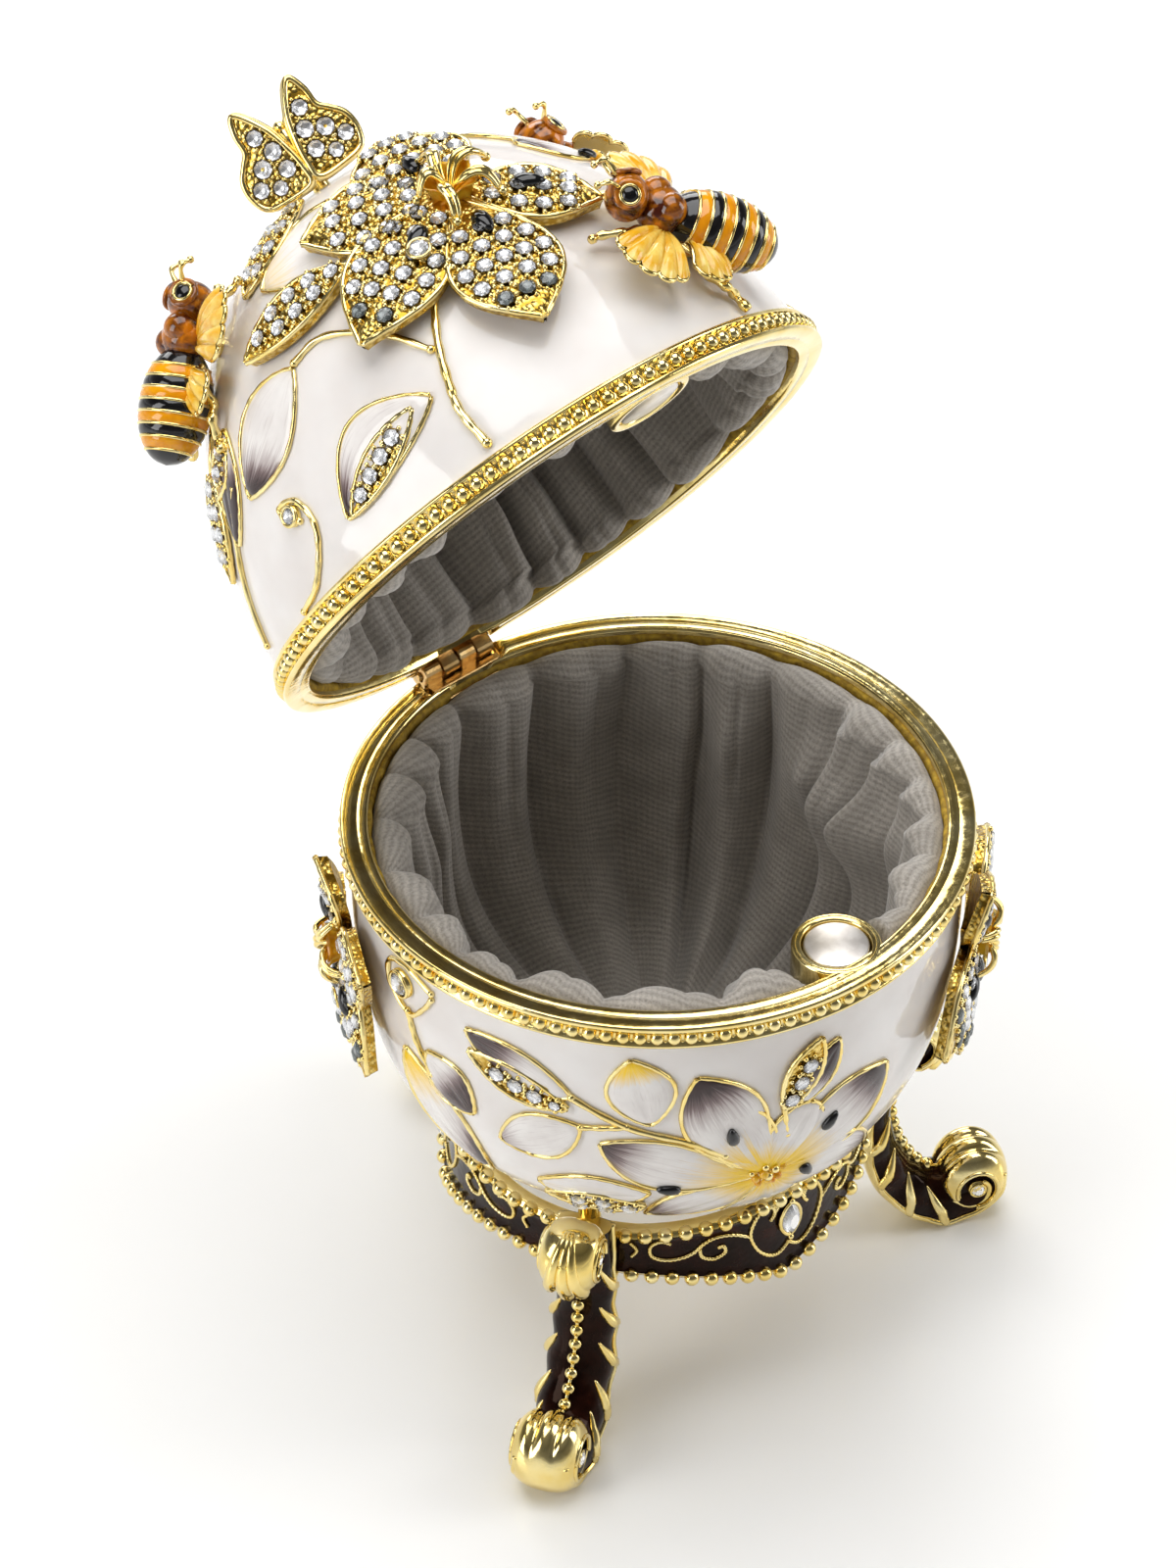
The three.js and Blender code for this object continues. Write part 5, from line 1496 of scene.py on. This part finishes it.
bowlLayout = {
    "leaves": [
        ([-147.4, 27.3], [-168.8, 16.6], 6.5, {"mauve": (0.3, 1.0, 0.0)}),
        ([-145.9, 37.1], [-162.5, 50.3], 7.5, {"mauve": (0.62, 0.9, 0.0)}),
        ([-132.8, 33.9], [-136.6, 12.4], 9.5, {"mauve": (1.3, 0.0, 0.0), "goldTip": 1.0}),
        ([-179, 33], [-168, 45.5], 8, {"mauve": (0.2, 1.0, 0.0)}),
        ([-133, 62], [-156, 64.5], 7, {"mauve": (0.8, 0.6, 0.0), "goldTip": 0.3}),
        ([-104.5, 34.5], [-97.2, 17], 5, {"mauve": (0.1, 1.1, 0.0)}),
        ([174, 38.5], [-169, 71.5], 10, {"yellow": (0.6, 1.1), "mauve": (0.55, 1.1, 0.2)}),
        ([60, 21], [40, 38.5], 10, {"mauve": (0.5, 1.2, 0.0)}),
        ([66, 31.5], [72, 59.5], 10, {"yellow": (0.5, 0.8)}),
        ([112, 21], [124, 45.5], 10, {"mauve": (0.5, 1.2, 0.1)}),
        ([14, 17.5], [-4, 35], 10, {"mauve": (0.4, 1.2, 0.0)}),
        ([-22, 52.5], [-14, 77], 9, {"mauve": (0.5, 1.2, 0.0)}),
        ([18, 52], [34, 72], 9, {"mauve": (0.5, 1.1, 0.0)}),
    ],
    "flowers": [
        ([-110, 58], 0, [
            ([-124.6, 18.5], 11, {"mauve": (0.52, 1.3, 0.0)}), ([-84.4, 35.6], 11.5, {"mauve": (0.5, 1.3, 0.0)}),
            ([-142.3, 42.3], 9, {"mauve": (0.6, 1.3, 0.0), "yellow": (0.7, 1.2)}), ([-82, 70], 11, {}),
            ([-134, 77], 9, {}), ([-104, 87.5], 9, {}),
            ([-118.6, 31], 8, {"mauve": (1.2, 0.0, 0.0), "blunt": 0.45}),
            ([-102.5, 35], 7.5, {"mauve": (1.2, 0.0, 0.0), "blunt": 0.45}),
        ]),
    ],
    "cabochons": [([-118, 39.2], 100), ([-98.2, 44.1], 55), ([-129.4, 58.5], 170), ([-101, 62], 300)],
    "stems": [
        ([[-147.4, 27.3], [-137.2, 35], [-126.5, 40.2], [-119, 47]], 0.5), ([[-145.9, 37.1], [-137.2, 35]], 0.45),
        ([[-108.1, 34], [-107, 44]], 0.45),
        ([[-177, 14], [-179.2, 19], [176.5, 24.5], [170.2, 19.5], [170.5, 12.5], [176, 9.5], [-177, 12]], 0.42),
        ([[176, 24], [178, 32], [-178, 40]], 0.45), ([[52, 28], [70, 30], [96, 24], [112, 21]], 0.5),
        ([[4, 26], [10, 44], [22, 54], [30, 70]], 0.5), ([[-30, 30], [-26, 44], [-22, 54]], 0.45),
    ],
    "crystals": [([174.6, 16.2], 1.7)],
    "paved": [
        ([-148, 31], [-168, 22.5], 5), ([-108.1, 34], [-101.2, 14], 5.2), ([-134, 68.5], [-155, 69], 5),
        ([44, 24], [30, 34], 6), ([84, 34], [92, 60], 7), ([132, 20], [118, 30], 6),
    ],
}
makeRelief(lidHalf, "lid", lidLayout, lidJewels)
makeRelief(bowlHalf, "bowl", bowlLayout, bowlJewels)
buildJewels(lidJewels)
buildJewels(bowlJewels)
print("enamel relief made")


# Camera, floor and light

view = {
    "azimuth": -42.37,
    "elevation": 40.93,
    "distance": 747.3,
    "roll": 0.74,
    "lens": 121.36,
    "shift": (-0.0446, 0.0169),
}


def makeCamera():
    a, e, r = (math.radians(view[key]) for key in ("azimuth", "elevation", "roll"))
    back = np.array([math.sin(a) * math.cos(e), -math.cos(a) * math.cos(e), math.sin(e)])
    right = np.array([math.cos(a), math.sin(a), 0])
    up = np.cross(back, right)
    x, y = right * math.cos(r) + up * math.sin(r), up * math.cos(r) - right * math.sin(r)
    place = (axisPlace + back * view["distance"]) / 1000
    data = bpy.data.cameras.new("studioCamera")
    data.lens, data.sensor_width = view["lens"], 36
    data.shift_x, data.shift_y = view["shift"]
    data.clip_start, data.clip_end = 0.05, 20
    camera = bpy.data.objects.new("studioCamera", data)
    bpy.context.scene.collection.objects.link(camera)
    camera.matrix_world = Matrix([[x[i], y[i], back[i], place[i]] for i in range(3)] + [[0, 0, 0, 1]])
    bpy.context.scene.camera = camera


studio = {
    "reach": 6.0,
    "sky": [(0.0, "#FFFFFF"), (0.12, "#C6C6C5"), (0.28, "#807F7E"), (0.6, "#605F5E"), (1.0, "#8C8B8A")],
    "skyStrength": 0.8,
    "aim": (0, 0, 0.09),
    # Each softbox: its place and its size in metres, its power in watts.
    "softboxes": {
        "topSoftbox": ((0.05, 0.15, 1.15), (1.1, 1.0), 11),
        "leftSoftbox": ((-1.0, 0.2, 0.5), (0.5, 0.8), 5),
        "rightSoftbox": ((0.75, -0.55, 0.45), (0.35, 0.7), 3),
        "backSoftbox": ((0.5, 1.0, 0.6), (1.0, 0.5), 6),
    },
}


def softbox(name, place, size, power):
    # A rectangular area light, turned towards the egg.
    data = bpy.data.lights.new(name, "AREA")
    data.shape, data.size, data.size_y = "RECTANGLE", size[0], size[1]
    data.energy = power
    lamp = bpy.data.objects.new(name, data)
    bpy.context.scene.collection.objects.link(lamp)
    back = unit(np.array(place) - np.array(studio["aim"]))
    side = unit(np.cross([0, 0, 1] if abs(back[2]) < 0.99 else [0, 1, 0], back))
    up = np.cross(back, side)
    lamp.matrix_world = Matrix([[side[i], up[i], back[i], place[i]] for i in range(3)] + [[0, 0, 0, 1]])


def makeStudio():
    # Pale acrylic sheet, faintly glossy, running on far past the view.
    material, tree, shader = newMaterial("paleAcrylicSheet", Roughness=0.16, IOR=1.3)
    setInputs(shader, {"Base Color": mottled(tree, [(0.4, "#F7F7F6"), (0.6, "#FBFBFA")], 400)})
    mesh = bpy.data.meshes.new("studioFloor")
    reach = studio["reach"]
    mesh.from_pydata([(-reach, -reach, 0), (reach, -reach, 0), (reach, reach, 0), (-reach, reach, 0)], [],
                     [(0, 1, 2, 3)])
    mesh.materials.append(material)
    floor = bpy.data.objects.new("studioFloor", mesh)
    bpy.context.scene.collection.objects.link(floor)
    world = bpy.data.worlds.new("studioWorld")
    world.use_nodes = True
    bpy.context.scene.world = world
    tree = world.node_tree
    direction = addNode(tree, "ShaderNodeTexCoord").outputs["Generated"]
    height = addNode(tree, "ShaderNodeSeparateXYZ", {0: direction}).outputs["Z"]
    sky = addNode(tree, "ShaderNodeValToRGB", {"Fac": height}, studio["sky"])
    setInputs(tree.nodes["Background"], {"Color": sky, "Strength": studio["skyStrength"]})
    for name, (place, size, power) in studio["softboxes"].items():
        softbox(name, place, size, power)
    bpy.context.scene.view_settings.view_transform = "Standard"


makeCamera()
makeStudio()
print("camera, floor and light made")
